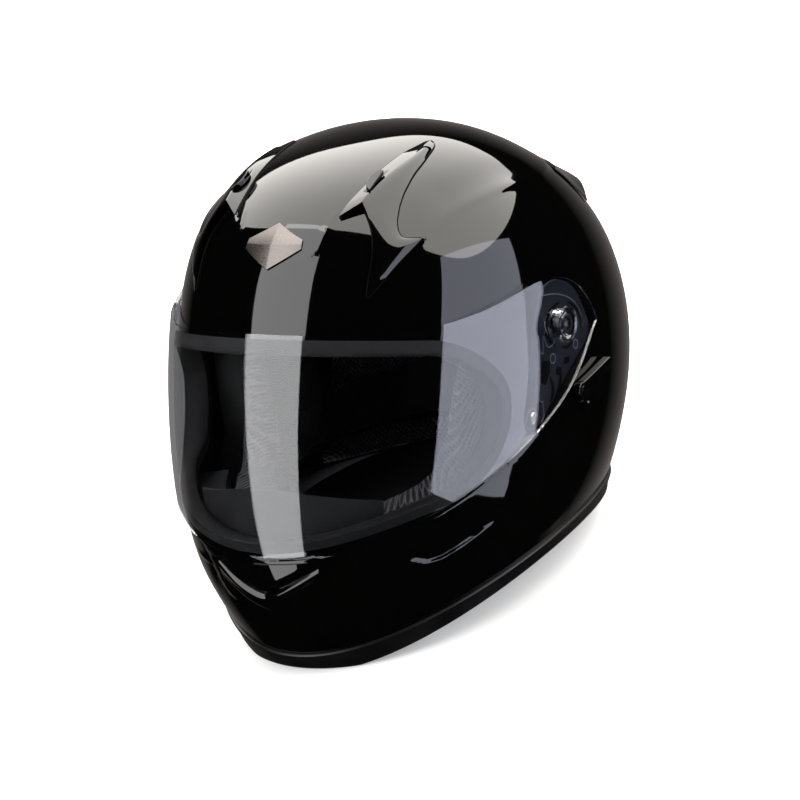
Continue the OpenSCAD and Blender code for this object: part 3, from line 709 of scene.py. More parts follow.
def relief(a, t):
    """Height in mm of the moulded lines of the shell above its plain skin."""
    a = np.where(a > 180, a - 360, a)
    m = np.abs(a)
    # crest that runs back from each top vent to the spoiler, with a shallow valley above it
    d = (t - line_at(CREST, m)) * STATION_MM
    fade = smooth((m - 48) / 8) * smooth((150 - m) / 20)
    valley = -1.1 * np.exp(-(((d + 9) / 8.5) ** 2)) * smooth((m - 56) / 14) * smooth((118 - m) / 20)
    ridge = 0.75 * np.where(d < 0, np.exp(-((d / 4.5) ** 2)), np.exp(-((d / 1.3) ** 2)))
    h = fade * (valley + ridge)
    # faint fold from each vent mouth down to the badge
    fold = (m - across(BROW, t)) * DEG_MM
    span = smooth((t - 0.204) / 0.012) * smooth((0.295 - t) / 0.012)
    h = h + 0.4 * np.exp(-((fold / 1.8) ** 2)) * span
    # ledge under the lower edge of the visor
    under = (t - visor_bottom(np.clip(m, 0, 94.9))) * STATION_MM
    lip = smooth((under - 1.6) / 1.5) * np.exp(-np.maximum(under - 3, 0) / 34)
    h = h + 1.3 * lip * smooth((79.5 - m) / 1.0) * smooth((m - 21) / 5) * smooth((0.9 - t) / 0.1)
    h = h + 0.8 * lip * smooth((24 - m) / 5) * smooth((0.74 - t) / 0.012)
    # housing of the chin vent, with a sharp edge on each side
    out = (m - across(CREASE, t)) * DEG_MM
    along = smooth((t - 0.712) / 0.006) * smooth((0.835 - t) / 0.03)
    h = h + 1.1 * along * smooth((0.6 - out) / 1.2)
    arm = (t - 0.7585) * STATION_MM
    h = h + 0.8 * np.exp(-((arm / 1.3) ** 2)) * smooth((m - 21) / 2) * smooth((33 - m) / 4)
    # shallow scoop on each cheek
    near = (m > 34) & (m < 64) & (t > 0.72) & (t < 0.82)
    depth = np.zeros(h.shape)
    depth[near] = inside(SCOOP, m[near], t[near])
    h = h - 1.1 * smooth((depth + 0.3) / 1.1) * near
    # fold low on the side, above the bottom edge
    low = (t - across(LOW_FOLD, m)) * STATION_MM
    span = smooth((m - 62) / 6) * smooth((86 - m) / 6)
    return h + 0.8 * smooth((low + 1) / 2) * np.exp(-np.maximum(low, 0) / 9) * span


def build_shell():
    """Moulded shell with the eye port and its moulded lines, its wall thicker where the two side pockets
    go.
    """
    port = span_angles(PORT_HALF, PORT_END, 1.3, 16)
    back = np.linspace(PORT_HALF, 360 - PORT_HALF, 180)[1:-1]
    angles = np.concatenate([port, back])
    up, low = 120, 84
    n_port, nc, nr = len(port), len(angles), up + low + 2
    a = angles[:, None]
    p = np.where(a > 180, a - 360, a)
    f = np.linspace(0, 1, up + 1)[None]
    g = np.linspace(0, 1, low + 1)[None]
    t = np.concatenate([port_top(p) * f, port_bottom(p) + (SHELL_RIM - port_bottom(p)) * g], 1)
    a = np.broadcast_to(a, t.shape)
    outer = off_skin(a, t, relief(a, t))
    inner = off_skin(a, t, -wall_at(a, t))
    verts = np.concatenate([outer.reshape(-1, 3), inner.reshape(-1, 3)])
    half = nc * nr
    faces = []
    for i in range(nc):
        k = (i + 1) % nc
        for j in range(nr - 1):
            if j == up:
                continue
            b, c = i * nr + j, k * nr + j
            faces.append((b, b + 1, c + 1, c))
            faces.append((half + b, half + c, half + c + 1, half + b + 1))
        e = nr - 1
        faces.append((i * nr + e, half + i * nr + e, half + k * nr + e, k * nr + e))
        if i < n_port - 1:
            b, c = i * nr + up, k * nr + up
            faces.append((b, half + b, half + c, c))
            b, c = b + 1, c + 1
            faces.append((b, c, half + c, half + b))
    return finish_mesh("shell", verts, faces, MAT_SHELL, sharp=50)


def cut(obj, tools, sharp=40):
    """Subtracts closed pieces from a closed piece and keeps its smooth shading."""
    for tool in tools:
        mod = obj.modifiers.new("cut", "BOOLEAN")
        mod.operation, mod.object, mod.solver = "DIFFERENCE", tool, "MANIFOLD"
    bake(obj)
    bm = bmesh.new()
    bm.from_mesh(obj.data)
    bmesh.ops.dissolve_degenerate(bm, edges=bm.edges, dist=1e-6)
    limit = math.radians(sharp)
    for face in bm.faces:
        face.smooth = True
    for edge in bm.edges:
        edge.smooth = not (len(edge.link_faces) == 2 and edge.calc_face_angle(0) > limit)
    bm.to_mesh(obj.data)
    bm.free()
    for tool in tools:
        bpy.data.objects.remove(tool)
    return obj


def side_matrix(x, side=1, at=(0, 0), tilt=0.0, centre=None):
    """Frame on the wearer's left (side 1) or right (-1): local x is +Y, local y is up,
    local z points away from the head."""
    centre = SEAT_AT if centre is None else centre
    m = np.eye(4)
    ct, st = math.cos(math.radians(tilt)), math.sin(math.radians(tilt))
    m[:3, 0] = (st, ct, 0)
    m[:3, 1] = (0, 0, 1)
    m[:3, 2] = (ct, -st, 0)
    m[:3, 3] = (x, centre[1], centre[2])
    m[:3, 3] += m[:3, 0] * at[0] + m[:3, 1] * at[1]
    if side < 0:
        m[0] *= -1
    return m


def arc(cx, cy, r, a0, a1, n=24):
    g = np.radians(np.linspace(a0, a1, n))
    return np.column_stack([cx + r * np.cos(g), cy + r * np.sin(g)])


SEAT_X, SEAT_TILT, PLATE_T = 118.5, 5.0, 2.8
SEAT_CIRCLES = [((-3.0, 2.0), 25.0), ((14.0, -9.0), 12.0), ((-43.5, -42.5), 8.5)]
SEAT_LOW = SEAT_CIRCLES[2][0]
LEVER_AT, STOP_AT, LEVER_X, LEVER_T = (-3.0, -41.0), (6.0, -54.0), 126.6, 4.8


def hull_circles(circles, n=72):
    """Outline of circles wrapped in one tight band, as its supporting line turns round."""
    g = np.linspace(0, 2 * math.pi, 6 * n, endpoint=False)
    d = np.column_stack([np.cos(g), np.sin(g)])
    reach = np.stack([d @ np.array(c) + r for c, r in circles], 1)
    best = reach.argmax(1)
    points = [np.array(circles[k][0]) + circles[k][1] * d[i] for i, k in enumerate(best)]
    turns = [i for i in range(len(g)) if best[i] != best[i - 1] or best[i] != best[(i + 1) % len(g)]]
    keep = sorted(set(range(0, len(g), 6)) | set(turns))
    return np.array(points)[keep]


def seat_outline(inset):
    return hull_circles([(c, r - inset) for c, r in SEAT_CIRCLES])


def mount(obj, body, slot, *nodes):
    """A finished piece: which body it moves with, its finish, which is not used, and the CAD nodes it
    stands for.
    """
    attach(obj, body)
    if nodes:
        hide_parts(*nodes)
    return obj


def both(build, body, slot, nodes):
    """A left piece and its mirror image; % in a name becomes left or right."""
    left = build()
    name = left.name
    left.name = name + "_left"
    right = mirrored(left, name + "_right")
    for obj, side in ((left, "left"), (right, "right")):
        mount(obj, body.replace("%", side), slot, *[n.replace("%", side) for n in nodes])
    return left, right


# ---------------------------------------------------------------- hard pieces


# Sections of the two rubber edges. Trim: offset, station, rise in mm. Gasket: distance from
# the port's edge and offset in mm, and how much of the shell's wall lies above the point.
TRIM_SECTION = [
    (1.4, 1, -3), (-5.9, 1, -5), (-6.3, 0.998, -4.6), (-6.3, 0.96, 0), (-5.7, 0.957, 0),
    (-4.6, 0.957, 0), (-4.3, 0.96, 0), (-4.3, 0.988, 0), (0.2, 0.988, 0), (0.2, 0.957, 0),
    (1.3, 0.957, 0), (1.9, 0.9595, 0), (2.0, 0.964, 0), (1.9, 0.993, -0.4), (1.7, 1, -2.4)]
GASKET_SECTION = [
    (3.5, 1.5, 0), (3.1, 1.8, 0), (0.4, 1.75, 0), (-0.2, 2.3, 0), (-1.4, 2.3, 0), (-2.0, 1.8, 0),
    (-2.1, -1, 0.5), (-2, -3.2, 1), (-1.6, -3.6, 1), (4.5, -3.6, 1), (4.5, -0.8, 1), (-0.6, -0.8, 1),
    (-0.6, 0.5, 0), (3.5, 0.5, 0)]


def shell():
    tools = [prism("cutter", seat_outline(0), 30, MAT_PAINTED_SHADE, side_matrix(SEAT_X, s, tilt=SEAT_TILT),
                   weld=False) for s in (1, -1)]
    mount(cut(build_shell(), tools, sharp=42), "helmet", "gloss_shell", "outer_shell")


def edge_trim():
    ang = np.arange(0, 360, 1.5)
    rings = np.stack([off_skin(ang, np.full(len(ang), t), np.full(len(ang), o)) + [0, 0, rise]
                      for o, t, rise in TRIM_SECTION], 1)
    rings[..., 2] = np.maximum(rings[..., 2], 0)
    trim = ring_solid("bottom_trim", rings, MAT_EDGE, sharp=35)
    mount(trim, "helmet", "edge_rubber", "bottom_edge_trim")


def port_gasket():
    port = span_angles(PORT_HALF, PORT_END, 2.0, 12)
    path = np.concatenate([np.column_stack([port, port_top(port)]),
                           np.column_stack([port[-2:0:-1], port_bottom(port[-2:0:-1])])])
    flat = path * [DEG_MM, STATION_MM]
    d = np.roll(flat, -1, 0) - np.roll(flat, 1, 0)
    away = unit(np.column_stack([d[:, 1], -d[:, 0]]))
    wall = wall_at(path[:, 0], path[:, 1])
    rings = []
    for beside, o, depth in GASKET_SECTION:
        q = flat + beside * away
        rings.append(off_skin(q[:, 0] / DEG_MM, q[:, 1] / STATION_MM, o - depth * wall))
    gasket = ring_solid("port_gasket", np.stack(rings, 1), MAT_GASKET, sharp=50)
    mount(gasket, "helmet", "gasket_rubber", "eye_port_gasket")


VISOR_WALL, RING_R = 2.2, 9


def visor_gap(a, t):
    """Space in mm between the skin and the visor, more of it at the ends, most at their top."""
    a = np.abs(a)
    return 3 + 1.4 * smooth((a - 60) / 25) + 1.7 * smooth((a - 68) / 14) * smooth((0.50 - t) / 0.06)


def visor_lens():
    angles = span_angles(VISOR_HALF, VISOR_END, 1.5, 18)
    visor = skin_slab("visor_lens", angles, lambda a: (visor_top(a), visor_bottom(a)), 70,
                      lambda a, t: visor_gap(a, t) + VISOR_WALL, visor_gap, MAT_VISOR, sharp=50)
    cut(visor, [prism("cutter", arc(0, 0, RING_R, 0, 354, 60), 30, MAT_VISOR,
                      side_matrix(110, s, centre=PIVOT), weld=False) for s in (1, -1)], sharp=50)
    add_bevel(visor, 0.35, 2, 50)
    mount(visor, "visor", "clear_visor", "visor")


# Relief of the seat plate, in mm from its centre: outlines, (line, width), lines,
# and circles as (x, y, x radius, y radius)
# Outlines and slots become near-black inlays of painted shade; lines and circles become ribs with a painted
# highlight.
POD_RECESSES = [
    [(-24, -14), (-17.5, -17), (-19.5, -23.5), (-25.5, -29), (-29, -26), (-27, -19)],
    [(-3, -20.4), (2, -21.4), (0.5, -25), (-5, -24)],
    [(-12, -22.5), (-7.6, -25), (-10, -29), (-14, -27)]]
POD_SLOTS = [
    ([(0, 13), (-9, 11), (-15.5, 4), (-15, -4), (-10, -10.5)], 3.4),
    ([(9, 10), (15.5, 3.4), (18, -3), (17, -10)], 2.4),
    ([(-4, -13), (1, -15.5), (7, -14)], 2.4),
    ([(-20, -26), (-19, -32), (-20.5, -37), (-24, -40)], 2.6),
    ([(-9, -27), (-12, -34), (-18, -40), (-26, -44)], 3.0),
    ([(-22, 13), (-26, 5), (-26.5, -4)], 2.0)]
POD_RIBS = [
    [(-14, 22.5), (-2, 19), (9, 13), (16, 6), (20, -4)],
    [(-26, -6), (-23, -10), (-20, 0), (-17.5, -8), (-11, -8), (-8, 0)],
    [(-30, -14), (-33, -22), (-37, -30)],
    [(-50, -45), (-47, -49.5), (-41, -51), (-34, -50), (-24, -45)],
    [(-36, -34), (-31, -37), (-32, -45), (-38, -50)]]
POD_CIRCLES = [(-14.5, -16.5, 2.6, 2.8), (9.5, -17, 2.2, 2.6), (-43.5, -42.5, 6.0, 6.0)]
RIB_R = 0.32


def pivot_ring():
    profile = [(6.2, 0), (8.9, 0), (8.9, 7.3), (10.3, 7.45), (10.6, 7.8), (10.4, 8.25), (9.4, 8.3),
               (8.6, 7.7), (7.4, 7.7), (6.9, 8.2), (6.2, 8.0)]
    return revolve("pivot_ring", profile, MAT_LENS, side_matrix(123.9, centre=PIVOT), 72)


def base_plate():
    """Seat plate with its two screw holes, sloped at the top where the visor swings past."""
    m = side_matrix(SEAT_X + 0.2, tilt=SEAT_TILT)
    plate = prism("base_plate", seat_outline(0.4), PLATE_T, MAT_SLATE, m, weld=False)
    slope = Matrix.Translation((9.9, 23, 1)) @ Matrix.Rotation(math.radians(4.6), 4, "Y")
    slope = m @ np.array(slope @ Matrix.Rotation(math.radians(-10.2), 4, "X"))
    block = [(-60, -60), (60, -60), (60, 60), (-60, 60)]
    tools = [(arc(0, 0, 2.2, 0, 345, 24), 60, MAT_PAINTED_SHADE, side_matrix(100, centre=PIVOT)),
             (arc(*SEAT_LOW, 2.4, 0, 345, 24), 60, MAT_PAINTED_SHADE, side_matrix(100)),
             (block, 20, MAT_SLATE, slope)]
    return cut(plate, [prism("cutter", *tool, weld=False) for tool in tools], sharp=30)


def plate_recess_shade():
    """Painted shade of the seat plate's sunk shapes: thin near-black inlays raised on the plate."""
    outlines = list(POD_RECESSES)
    for line, wide in POD_SLOTS:
        p = catmull(line, 6)
        d = np.gradient(p, axis=0)
        side = unit(np.column_stack([-d[:, 1], d[:, 0]]))
        swell = 0.35 + 0.65 * np.sin(np.linspace(0.15, math.pi - 0.15, len(p)))
        half = wide * swell[:, None] / 2
        outlines.append(np.concatenate([p + side * half, (p - side * half)[::-1]]))
    m = side_matrix(SEAT_X + 2.85, tilt=SEAT_TILT)
    parts = [prism("recess", line, 0.3, MAT_PAINTED_SHADE, m, weld=False) for line in outlines]
    return join("plate_recess_shade", parts)


def plate_ribs():
    """Raised moulding lines round the mechanism, pale for a painted highlight along them."""
    lines = [(catmull(line, 5) if len(line) > 4 else np.array(line, float), False) for line in POD_RIBS]
    lines += [(arc(0, 0, 1, 0, 350, 30) * (rx, ry) + (x, y), True) for x, y, rx, ry in POD_CIRCLES]
    m = side_matrix(SEAT_X + 3.1, tilt=SEAT_TILT)
    parts = [tube("rib", np.column_stack([p, np.zeros(len(p))]), RIB_R, MAT_RIB_HIGHLIGHT, m, closed, sides=6)
             for p, closed in lines]
    return join("plate_ribs", parts)


def pivot_boss():
    profile = [(2.3, 0), (5.9, 0), (5.9, 10.6), (5.4, 12.2), (4.2, 12.2), (4.0, 9.6), (2.3, 9.6)]
    return revolve("pivot_boss", profile, MAT_SLATE, side_matrix(119.4, centre=PIVOT), 48)


def base_screws():
    """Pan head and socket of the two screws, as one piece."""
    parts = []
    for at, centre, x, head, r in (((0, 0), PIVOT, 129.0, 1.8, 3.6), (SEAT_LOW, SEAT_AT, 118.2, 2.0, 4.4)):
        profile = [(0.01, -8), (2.1, -8), (2.1, 0), (r, 0), (r, head * 0.45), (r * 0.86, head * 0.85),
                   (r * 0.6, head), (1.7, head), (1.5, head - 1.2), (0.01, head - 1.2)]
        m = side_matrix(x, at=at, centre=centre)
        parts.append(revolve("screw", profile, MAT_SCREW, m, 36, sharp=35))
    return join("base_screws", parts)


def pivots():
    both(pivot_ring, "visor", "pivot_ring", ["visor_pivot_%"])
    both(base_plate, "helmet", "slate_plastic", ["base_plate_%"])
    for build in (pivot_boss, plate_recess_shade, plate_ribs):
        both(build, "helmet", "slate_plastic", [])
    both(base_screws, "helmet", "steel", ["base_screws_%"])


def join(name, objs):
    """Merges pieces into the first one."""
    bm = bmesh.new()
    mats = []
    for o in objs:
        for m in o.data.materials:
            if m not in mats:
                mats.append(m)
    for o in objs:
        n = len(bm.faces)
        o.data.transform(o.matrix_world)
        slots = [mats.index(m) for m in o.data.materials]
        bm.from_mesh(o.data)
        bm.faces.ensure_lookup_table()
        for f in bm.faces[n:]:
            f.material_index = slots[min(f.material_index, len(slots) - 1)]
    keep = objs[0]
    bm.to_mesh(keep.data)
    bm.free()
    keep.data.materials.clear()
    for m in mats:
        keep.data.materials.append(m)
    for o in objs[1:]:
        bpy.data.objects.remove(o)
    keep.name = name
    return keep


def release_lever():
    bar = [(2, 4.4), (16, 5.2), (30, 6.2), (36, 6.6), (38, 4.6), (36, 1.6), (24, -0.6), (10, -3.6), (0, -5)]
    end = arc(0, 0, 5, 270, 80, 18)
    outline = np.concatenate([catmull(bar[:4], 5), catmull(bar[4:], 5), end[1:-1]])
    lever = prism("release_lever", outline, LEVER_T, MAT_TRIM, side_matrix(LEVER_X, at=LEVER_AT),
                  weld=False)
    add_bevel(lever, 1.3, 4, 40)
    return lever


def lever_pin():
    profile = [(0.01, 0), (1.9, 0), (1.9, 11.7), (2.9, 11.75), (2.8, 12.1), (2.2, 12.3), (0.01, 12.3)]
    return revolve("lever_pin", profile, MAT_TRIM, side_matrix(120, at=LEVER_AT), 32)


def lever_stop():
    profile = [(0.01, 0), (1.5, 0), (1.5, 5.2), (2.4, 5.25), (2.4, 6.9), (1.9, 7.4), (0.01, 7.4)]
    return revolve("lever_stop", profile, MAT_TRIM, side_matrix(121, at=STOP_AT), 32)


def levers():
    both(release_lever, "lever_%", "gloss_trim", ["release_lever_%"])
    both(lever_pin, "helmet", "steel", ["lever_pin_%"])
    both(lever_stop, "helmet", "steel", ["lever_stop_%"])


# Guide lines of a vent cover as (angle, station): its long part, then the blade below it.
# The ridge of the long part becomes the inner edge of the blade. Heights are in mm.
VENT_IN = [(97.5, 0.126), (90.8, 0.121), (70.5, 0.121), (52.9, 0.138), (39.7, 0.166), (30.9, 0.198),
           (26.2, 0.225)]
VENT_RIDGE = [(97.6, 0.127), (91, 0.1285), (74, 0.140), (58, 0.1585), (46, 0.181), (39.6, 0.199),
              (35.9, 0.213)]
VENT_OUT = [(97.5, 0.130), (92.5, 0.140), (79.4, 0.153), (64.9, 0.175), (55.5, 0.202), (50.8, 0.224),
            (49.0, 0.236)]
BLADE_IN = [(35.9, 0.213), (37.0, 0.234), (37.5, 0.257), (37.1, 0.281), (35.8, 0.308), (34.2, 0.332),
            (33.0, 0.3545)]
BLADE_OUT = [(49.0, 0.236), (46.9, 0.255), (46.3, 0.274), (47.7, 0.2855), (53.0, 0.2945),
             (43.3, 0.321), (33.6, 0.3575)]
RIDGE_UP = [1.2, 1.6, 2.6, 3.6, 4.6, 5.4, 5.9]
BLADE_UP = [5.9, 5.4, 4.8, 4.2, 3.4, 2.4, 1.2]
EDGE_UP = 0.9
SLIDE_A, SLIDE_B = (50.5, 0.152), (40, 0.188)


def bent(points, per, corner=None):
    """Line through station points: smooth, with a sharp turn at one of them if asked."""
    p = np.array(points, float)
    if p.ndim == 1:
        p = p[:, None]
    if corner is None:
        return catmull(p, per)
    return np.concatenate([catmull(p[: corner + 1], per)[:-1], catmull(p[corner:], per)])


def slider_frame(o):
    """Frame of a vent slider at its place on the skin: local x runs along its travel."""
    mid = (np.array(SLIDE_A) + SLIDE_B) / 2
    n = outward(*mid)
    d = unit(skin(*SLIDE_B) - skin(*SLIDE_A))
    d = unit(d - n * (d @ n))
    m = np.eye(4)
    m[:3, 0], m[:3, 1], m[:3, 2] = d, np.cross(n, d), n
    m[:3, 3] = off_skin(*mid, o)
    return m


def vent_rows():
    """Guide lines of one vent cover: inner edge, ridge, outer edge and their heights."""
    per = 8
    ridge = np.concatenate([bent(VENT_RIDGE, per), bent(BLADE_IN, per)[1:]])
    outer = np.concatenate([bent(VENT_OUT, per), bent(BLADE_OUT, per, 4)[1:]])
    inner = np.concatenate([bent(VENT_IN, per), bent(BLADE_IN, per)[1:]])
    high = np.concatenate([bent(RIDGE_UP, per), bent(BLADE_UP, per)[1:]])[:, 0]
    mouth = len(bent(VENT_IN, per))
    return inner, ridge, outer, high, mouth


def top_vent():
    """Two-facet cover from crest to blade, with a slot along the slider's travel."""
    inner, ridge, outer, high, mouth = vent_rows()
    low_in = np.where(np.arange(len(high)) < mouth, EDGE_UP, high)
    low_in[mouth - 16:mouth] = EDGE_UP + 1.9 * smooth(np.linspace(0, 1, 16))
    v, w = np.linspace(0, 1, 9), np.linspace(0, 1, 17)[1:]
    one = inner[:, None] + (ridge - inner)[:, None] * v[None, :, None]
    two = ridge[:, None] + (outer - ridge)[:, None] * w[None, :, None]
    p = np.concatenate([one, two], 1)
    o1 = low_in[:, None] + (high - low_in)[:, None] * v[None]
    crown = np.sin(np.pi * w)[None] * 0.9 * (high[:, None] > 2)
    o2 = high[:, None] + (EDGE_UP - high)[:, None] * w[None] ** 1.15 + crown
    o = np.concatenate([o1, o2], 1)
    under = np.maximum(o - 1.3, -0.4)
    under[:, -1] = under[:, 0] * (o[:, 0] < 1.5) - 0.4
    top = off_skin(p[..., 0], p[..., 1], o)
    low = off_skin(p[..., 0], p[..., 1], np.minimum(under, o - 0.5))
    cover = grid_solid("top_vent", top, low, MAT_TRIM, sharp=38)
    ends = [arc(4, 0, 9.6, -90, 0), [(13.6, 3.2), (-13.6, 3.2)], arc(-4, 0, 9.6, 180, 270)]
    slot = np.concatenate(ends) * (1, 0.62)
    return cut(cover, [prism("cutter", slot, 20, MAT_PAINTED_SHADE, slider_frame(2.2), weld=False)], sharp=38)


def vent_gap_shade():
    """Painted shade of the gap round the vent cover, where it meets the shell: a thin near-black tube."""
    inner, ridge, outer, _, mouth = vent_rows()
    line = np.concatenate([inner[:mouth][::-1], outer, ridge[mouth + 2:][::-1]])
    pts = off_skin(line[:, 0], line[:, 1], np.full(len(line), 0.15))
    keep = [0]
    for k in range(1, len(pts)):
        if np.linalg.norm(pts[k] - pts[keep[-1]]) > 0.6:
            keep.append(k)
    return tube("vent_gap_shade", pts[keep], 0.75, MAT_PAINTED_SHADE, sides=8)


def vent_slider():
    half_moon = arc(0, 0, 9.2, -180, 0, 36) * (1, 0.56) + (4, 1.5)
    slider = prism("vent_slider", half_moon, 3.3, MAT_TRIM, slider_frame(3.0), weld=False)
    add_bevel(slider, 0.55, 3, 40)
    return bake(slider)


def vents():
    both(top_vent, "helmet", "gloss_trim", ["top_vent_%"])
    both(vent_gap_shade, "helmet", "gloss_trim", [])
    both(vent_slider, "slider_%", "slate_plastic", ["vent_slider_%"])


def chin_v(a):
    """Lower edge of the chin vent plate."""
    return 0.784 - 0.041 * (np.sqrt(a * a + 4) - 2) / 12.6


# Section of the chin lip: station below the plate's edge, offset in mm
LIP_PROFILE = [
    (-0.001, 0.3), (-0.001, 2.0), (0.002, 3.3), (0.0055, 4.7), (0.0075, 4.9), (0.0125, 4.6),
    (0.0175, 4.0), (0.0185, 2.9), (0.0200, 2.6), (0.0215, 3.4), (0.026, 3.5), (0.033, 2.7),
    (0.039, 1.6), (0.0435, 0.8), (0.044, 0.2)]


def chin_vent():
    """Lip below the chin plate, thinner at both ends, and the plate itself."""
    a = np.linspace(-16.4, 16.4, 83)
    taper = 1 - 0.45 * smooth((np.abs(a) - 4) / 14)
    rings = [off_skin(a, chin_v(a) + 0.003 + dt * (0.62 + 0.38 * taper), 0.3 + 0.9 * o * taper)
             for dt, o in LIP_PROFILE]
    lip = ring_solid("chin_lip", np.stack(rings, 1), MAT_TRIM, closed=False, sharp=42)
    mount(lip, "helmet", "gloss_trim", "chin_vent_lip")

    def front(a, t):
        low = smooth((t - chin_v(a) + 0.02) / 0.02)
        return 2.9 - 1.0 * low - 0.9 * smooth((np.abs(a) - 10) / 5)

    shutter = skin_slab("chin_shutter", np.linspace(-14.6, 14.6, 75),
                        lambda a: (0.7235, chin_v(a) - 0.0015), 22, front, 0.9, MAT_TRIM, sharp=40)
    add_bevel(shutter, 0.35, 3, 45)
    mount(shutter, "chin_shutter", "gloss_trim", "chin_vent_shutter")


def rear_spoiler():
    def height(a, t):
        return 1.4 + 5.5 * smooth((t - 0.335) / 0.09) * smooth((50 - np.abs(a - 180)) / 16)

    rear = skin_slab("rear_spoiler", np.linspace(131, 229, 99),
                     lambda a: (0.335, 0.405 + 0.03 * np.cos(np.radians(a * 1.8)) ** 2), 26,
                     height, 0.5, MAT_TRIM, sharp=40)
    add_bevel(rear, 0.5, 3, 45)
    mount(rear, "helmet", "gloss_trim", "rear_exhaust")


BADGE_HALF, BADGE_TOP, BADGE_LOW, BADGE_POINT = 12, 0.254, 0.270, 0.030


def front_badge():
    """Plain lozenge with four facets that meet at its middle."""
    def ends(a):
        point = BADGE_POINT * (1 - np.abs(a) / BADGE_HALF)
        return BADGE_TOP - point, BADGE_LOW + point

    badge = skin_slab("front_badge", np.linspace(-BADGE_HALF, BADGE_HALF, 49), ends, 13,
                      lambda a, t: 2.2 - 1.1 * (np.abs(a) / BADGE_HALF + np.abs(t - 0.262) / 0.038),
                      0.4, MAT_BADGE, sharp=8)
    add_bevel(badge, 0.25, 2, 30)
    mount(badge, "helmet", "badge_metal", "forehead_badge")


# ---------------------------------------------------------------- liner


FOAM_DEPTH = 33.0


def foam():
    def edge(a):
        m = np.abs(np.where(a > 180, a - 360, a))
        back = np.where(m < 74, 0.448 + 0.392 * (m - 66) / 8, np.where(m < 110, 0.84, 0.88))
        return np.where(m < 66, 0.37 + 0.045 * (m / 50) ** 2, back)

    ang = np.concatenate([np.arange(-66, 66, 3), np.arange(66, 74, 1), np.arange(74, 286, 4),
                          np.arange(286, 294, 1)])
    main = skin_slab("eps_main", ang, lambda a: (0, edge(a)), 30,
                     lambda a, t: -1.5 * wall_at(a, t) - 0.2, -FOAM_DEPTH, MAT_FOAM, wrap=True)
    mount(main, "helmet", "foam", "eps_main")
    chin = skin_slab("eps_chin", np.linspace(-58, 58, 59),
                     lambda a: (port_bottom(a * 0.75) + 0.03, 0.945), 14, -5.4, -24.0, MAT_FOAM)
    mount(chin, "helmet", "foam", "eps_chin")


def inflate(obj, pressure, cap, voxel=5.0):
    """Cloth inflation of a pad, held within a cap, then one subdivision."""
    obj.data.transform(obj.matrix_world)
    remesh = obj.modifiers.new("remesh", "REMESH")
    remesh.mode, remesh.voxel_size = "VOXEL", voxel * MM
    bake(obj)
    rest = np.array([v.co for v in obj.data.vertices])
    cloth = obj.modifiers.new("cloth", "CLOTH")
    cloth.settings.use_pressure = True
    cloth.settings.uniform_pressure_force = pressure
    cloth.settings.effector_weights.gravity = 0
    scene = bpy.context.scene
    for frame_number in range(1, 21):
        scene.frame_set(frame_number)
    graph = bpy.context.evaluated_depsgraph_get()
    moved = obj.evaluated_get(graph).to_mesh()
    now = np.array([v.co for v in moved.vertices])
    obj.modifiers.clear()
    shift = now - rest
    length = np.linalg.norm(shift, axis=1, keepdims=True)
    rest = rest + shift * np.minimum(1, cap * MM / np.maximum(length, 1e-9))
    scene.frame_set(1)
    for v, co in zip(obj.data.vertices, rest):
        v.co = co
    for p in obj.data.polygons:
        p.use_smooth = True
    sub = obj.modifiers.new("subdivide", "SUBSURF")
    sub.levels = sub.render_levels = 1
    return bake(obj)


PAD_OUT, PAD_IN = -37, -44
# Angles, stations, rows, outer and inner offset in mm, whether closed, cap in mm, fill
PADS = {
    "crown_pad": (np.arange(0, 360, 6), (0, 0.25), 16, PAD_OUT, PAD_IN, True, 4, 0.5),
    "brow_pad": (np.linspace(-55, 55, 45), lambda a: (0.29, 0.35 + 0.045 * (a / 50) ** 2), 8,
                 PAD_OUT, PAD_IN, False, 4, 0.6),
    "rear_pad": (np.linspace(106, 254, 60), (0.31, 0.77), 30, PAD_OUT, PAD_IN, False, 4, 0.5),
    "neck_roll": (np.linspace(106, 254, 60), (0.900, 0.948), 6, -10, -36, False, 3, 0.7)}


def pads():
    for name, (angles, stations, rows, out, inn, closed, cap, fill) in PADS.items():
        pad = inflate(skin_slab(name, angles, stations, rows, out, inn, MAT_MESH, closed), 4, cap)
        mount(pad, "helmet", "mesh_fabric", name)

    def cheek():
        pad = skin_slab("cheek_pad", np.linspace(35, 98, 42),
                        lambda a: (0.705 - 0.23 * smooth((a - 56) / 10), 0.852), 30,
                        lambda a, t: -28 - 9 * smooth((a - 56) / 8),
                        lambda a, t: -55 + 13 * (1 - smooth((t - 0.45) / 0.25)), MAT_MESH)
        return inflate(pad, 4, 4)

    for pad in both(cheek, "helmet", "mesh_fabric", ["cheek_pad_%"]):
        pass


def breath_guard():
    guard = skin_slab("breath_guard", np.linspace(-34, 34, 69),
                      lambda a: (0.600 + 0.050 * (np.abs(a) / 34) ** 1.5, 0.708), 22,
                      -9.0, -11.0, MAT_GASKET)
    add_bevel(guard, 0.5, 2, 50)
    mount(guard, "helmet", "gasket_rubber", "breath_deflector")


def chin_curtain():
    """Cloth stretched under the chin from the bottom edge, deepest in the middle."""
    a = np.linspace(-46, 46, 60)
    depth = -40 + 22 * (a / 46) ** 2
    f = np.linspace(0, 1, 14)
    o = -8 + (depth[:, None] + 8) * f[None]
    sag = 0.966 - 0.003 * np.sin(np.pi * f)[None] + 0 * o
    mid = off_skin(np.broadcast_to(a[:, None], o.shape), sag, o)
    curtain = grid_solid("chin_curtain", mid + [0, 0, 0.6], mid - [0, 0, 0.6], MAT_WEB)
    mount(curtain, "helmet", "webbing", "chin_curtain")


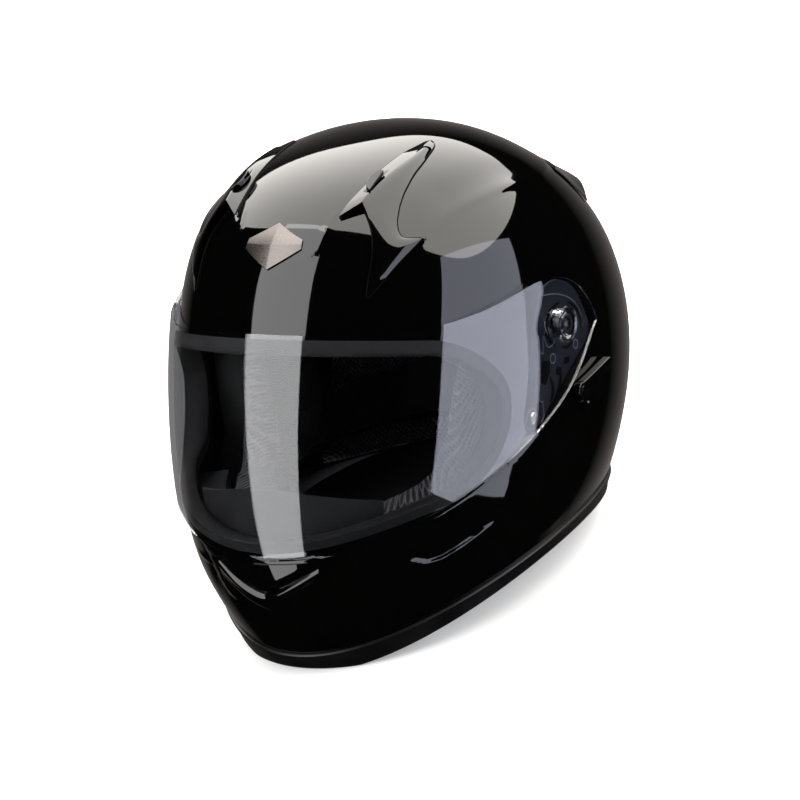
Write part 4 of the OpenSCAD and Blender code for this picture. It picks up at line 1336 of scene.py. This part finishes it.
STRAP_Y = Y_SHIFT - 20
STRAP = [(101, STRAP_Y + 12, 40), (92, STRAP_Y + 8, 29), (76, STRAP_Y + 3, 21), (60, STRAP_Y, 16.5),
         (49, STRAP_Y, 14.4)]
TONGUE = [(-30, STRAP_Y, 11.8), (-8, STRAP_Y, 10.9), (8, STRAP_Y, 10.9)]
STRAP_W, STRAP_T = 20, 1.8


def band(name, path, width, thick, material):
    """Flat band along a path, thinner towards both selvedges."""
    p = catmull(path, 8)
    d = np.gradient(p, axis=0)
    side = unit(np.column_stack([-d[:, 2], 0 * d[:, 0], d[:, 0]]))
    w = np.linspace(-0.5, 0.5, 9)
    mid = p[:, None] + np.array([0, width, 0]) * w[None, :, None]
    half = side[:, None] * (thick / 2 * (1 - 0.35 * np.abs(2 * w) ** 6))[None, :, None]
    return grid_solid(name, mid + half, mid - half, material, sharp=50)


def straps():
    right = [(-x, y, z) for x, y, z in STRAP] + TONGUE
    for name, path in (("chin_strap_left", STRAP), ("chin_strap_right", right)):
        mount(band(name, path, STRAP_W, STRAP_T, MAT_WEB), "helmet", "webbing", name)

    def pad():
        path = [np.array(p) + [-1.5, 0, 4.4] for p in STRAP[1:4]]
        return inflate(band("strap_pad", path, 25, 4.2, MAT_MESH), 4, 2.0, 3.0)

    for obj in both(pad, "helmet", "mesh_fabric", ["strap_pad_%"]):
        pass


CARRIED_OVER = {
    "chin_vent_grille": MAT_SLATE, "strap_anchor_left": MAT_STEEL, "strap_anchor_right": MAT_STEEL,
    "buckle_body": MAT_STEEL, "buckle_lever": MAT_RED, "ratchet_tongue": MAT_NYLON,
    "liner_snaps": MAT_NYLON}


def carried_over():
    """Finished materials for the CAD nodes whose own shape stays visible."""
    for name, material in CARRIED_OVER.items():
        obj = frame["nodes"][name]
        for s in obj.material_slots:
            s.material = material
        if not obj.material_slots:
            obj.data.materials.append(material)


rig_camera()
lamps()
backdrop()
ground()
shell()
edge_trim()
port_gasket()
visor_lens()
pivots()
levers()
vents()
chin_vent()
rear_spoiler()
front_badge()
foam()
pads()
breath_guard()
chin_curtain()
straps()
carried_over()
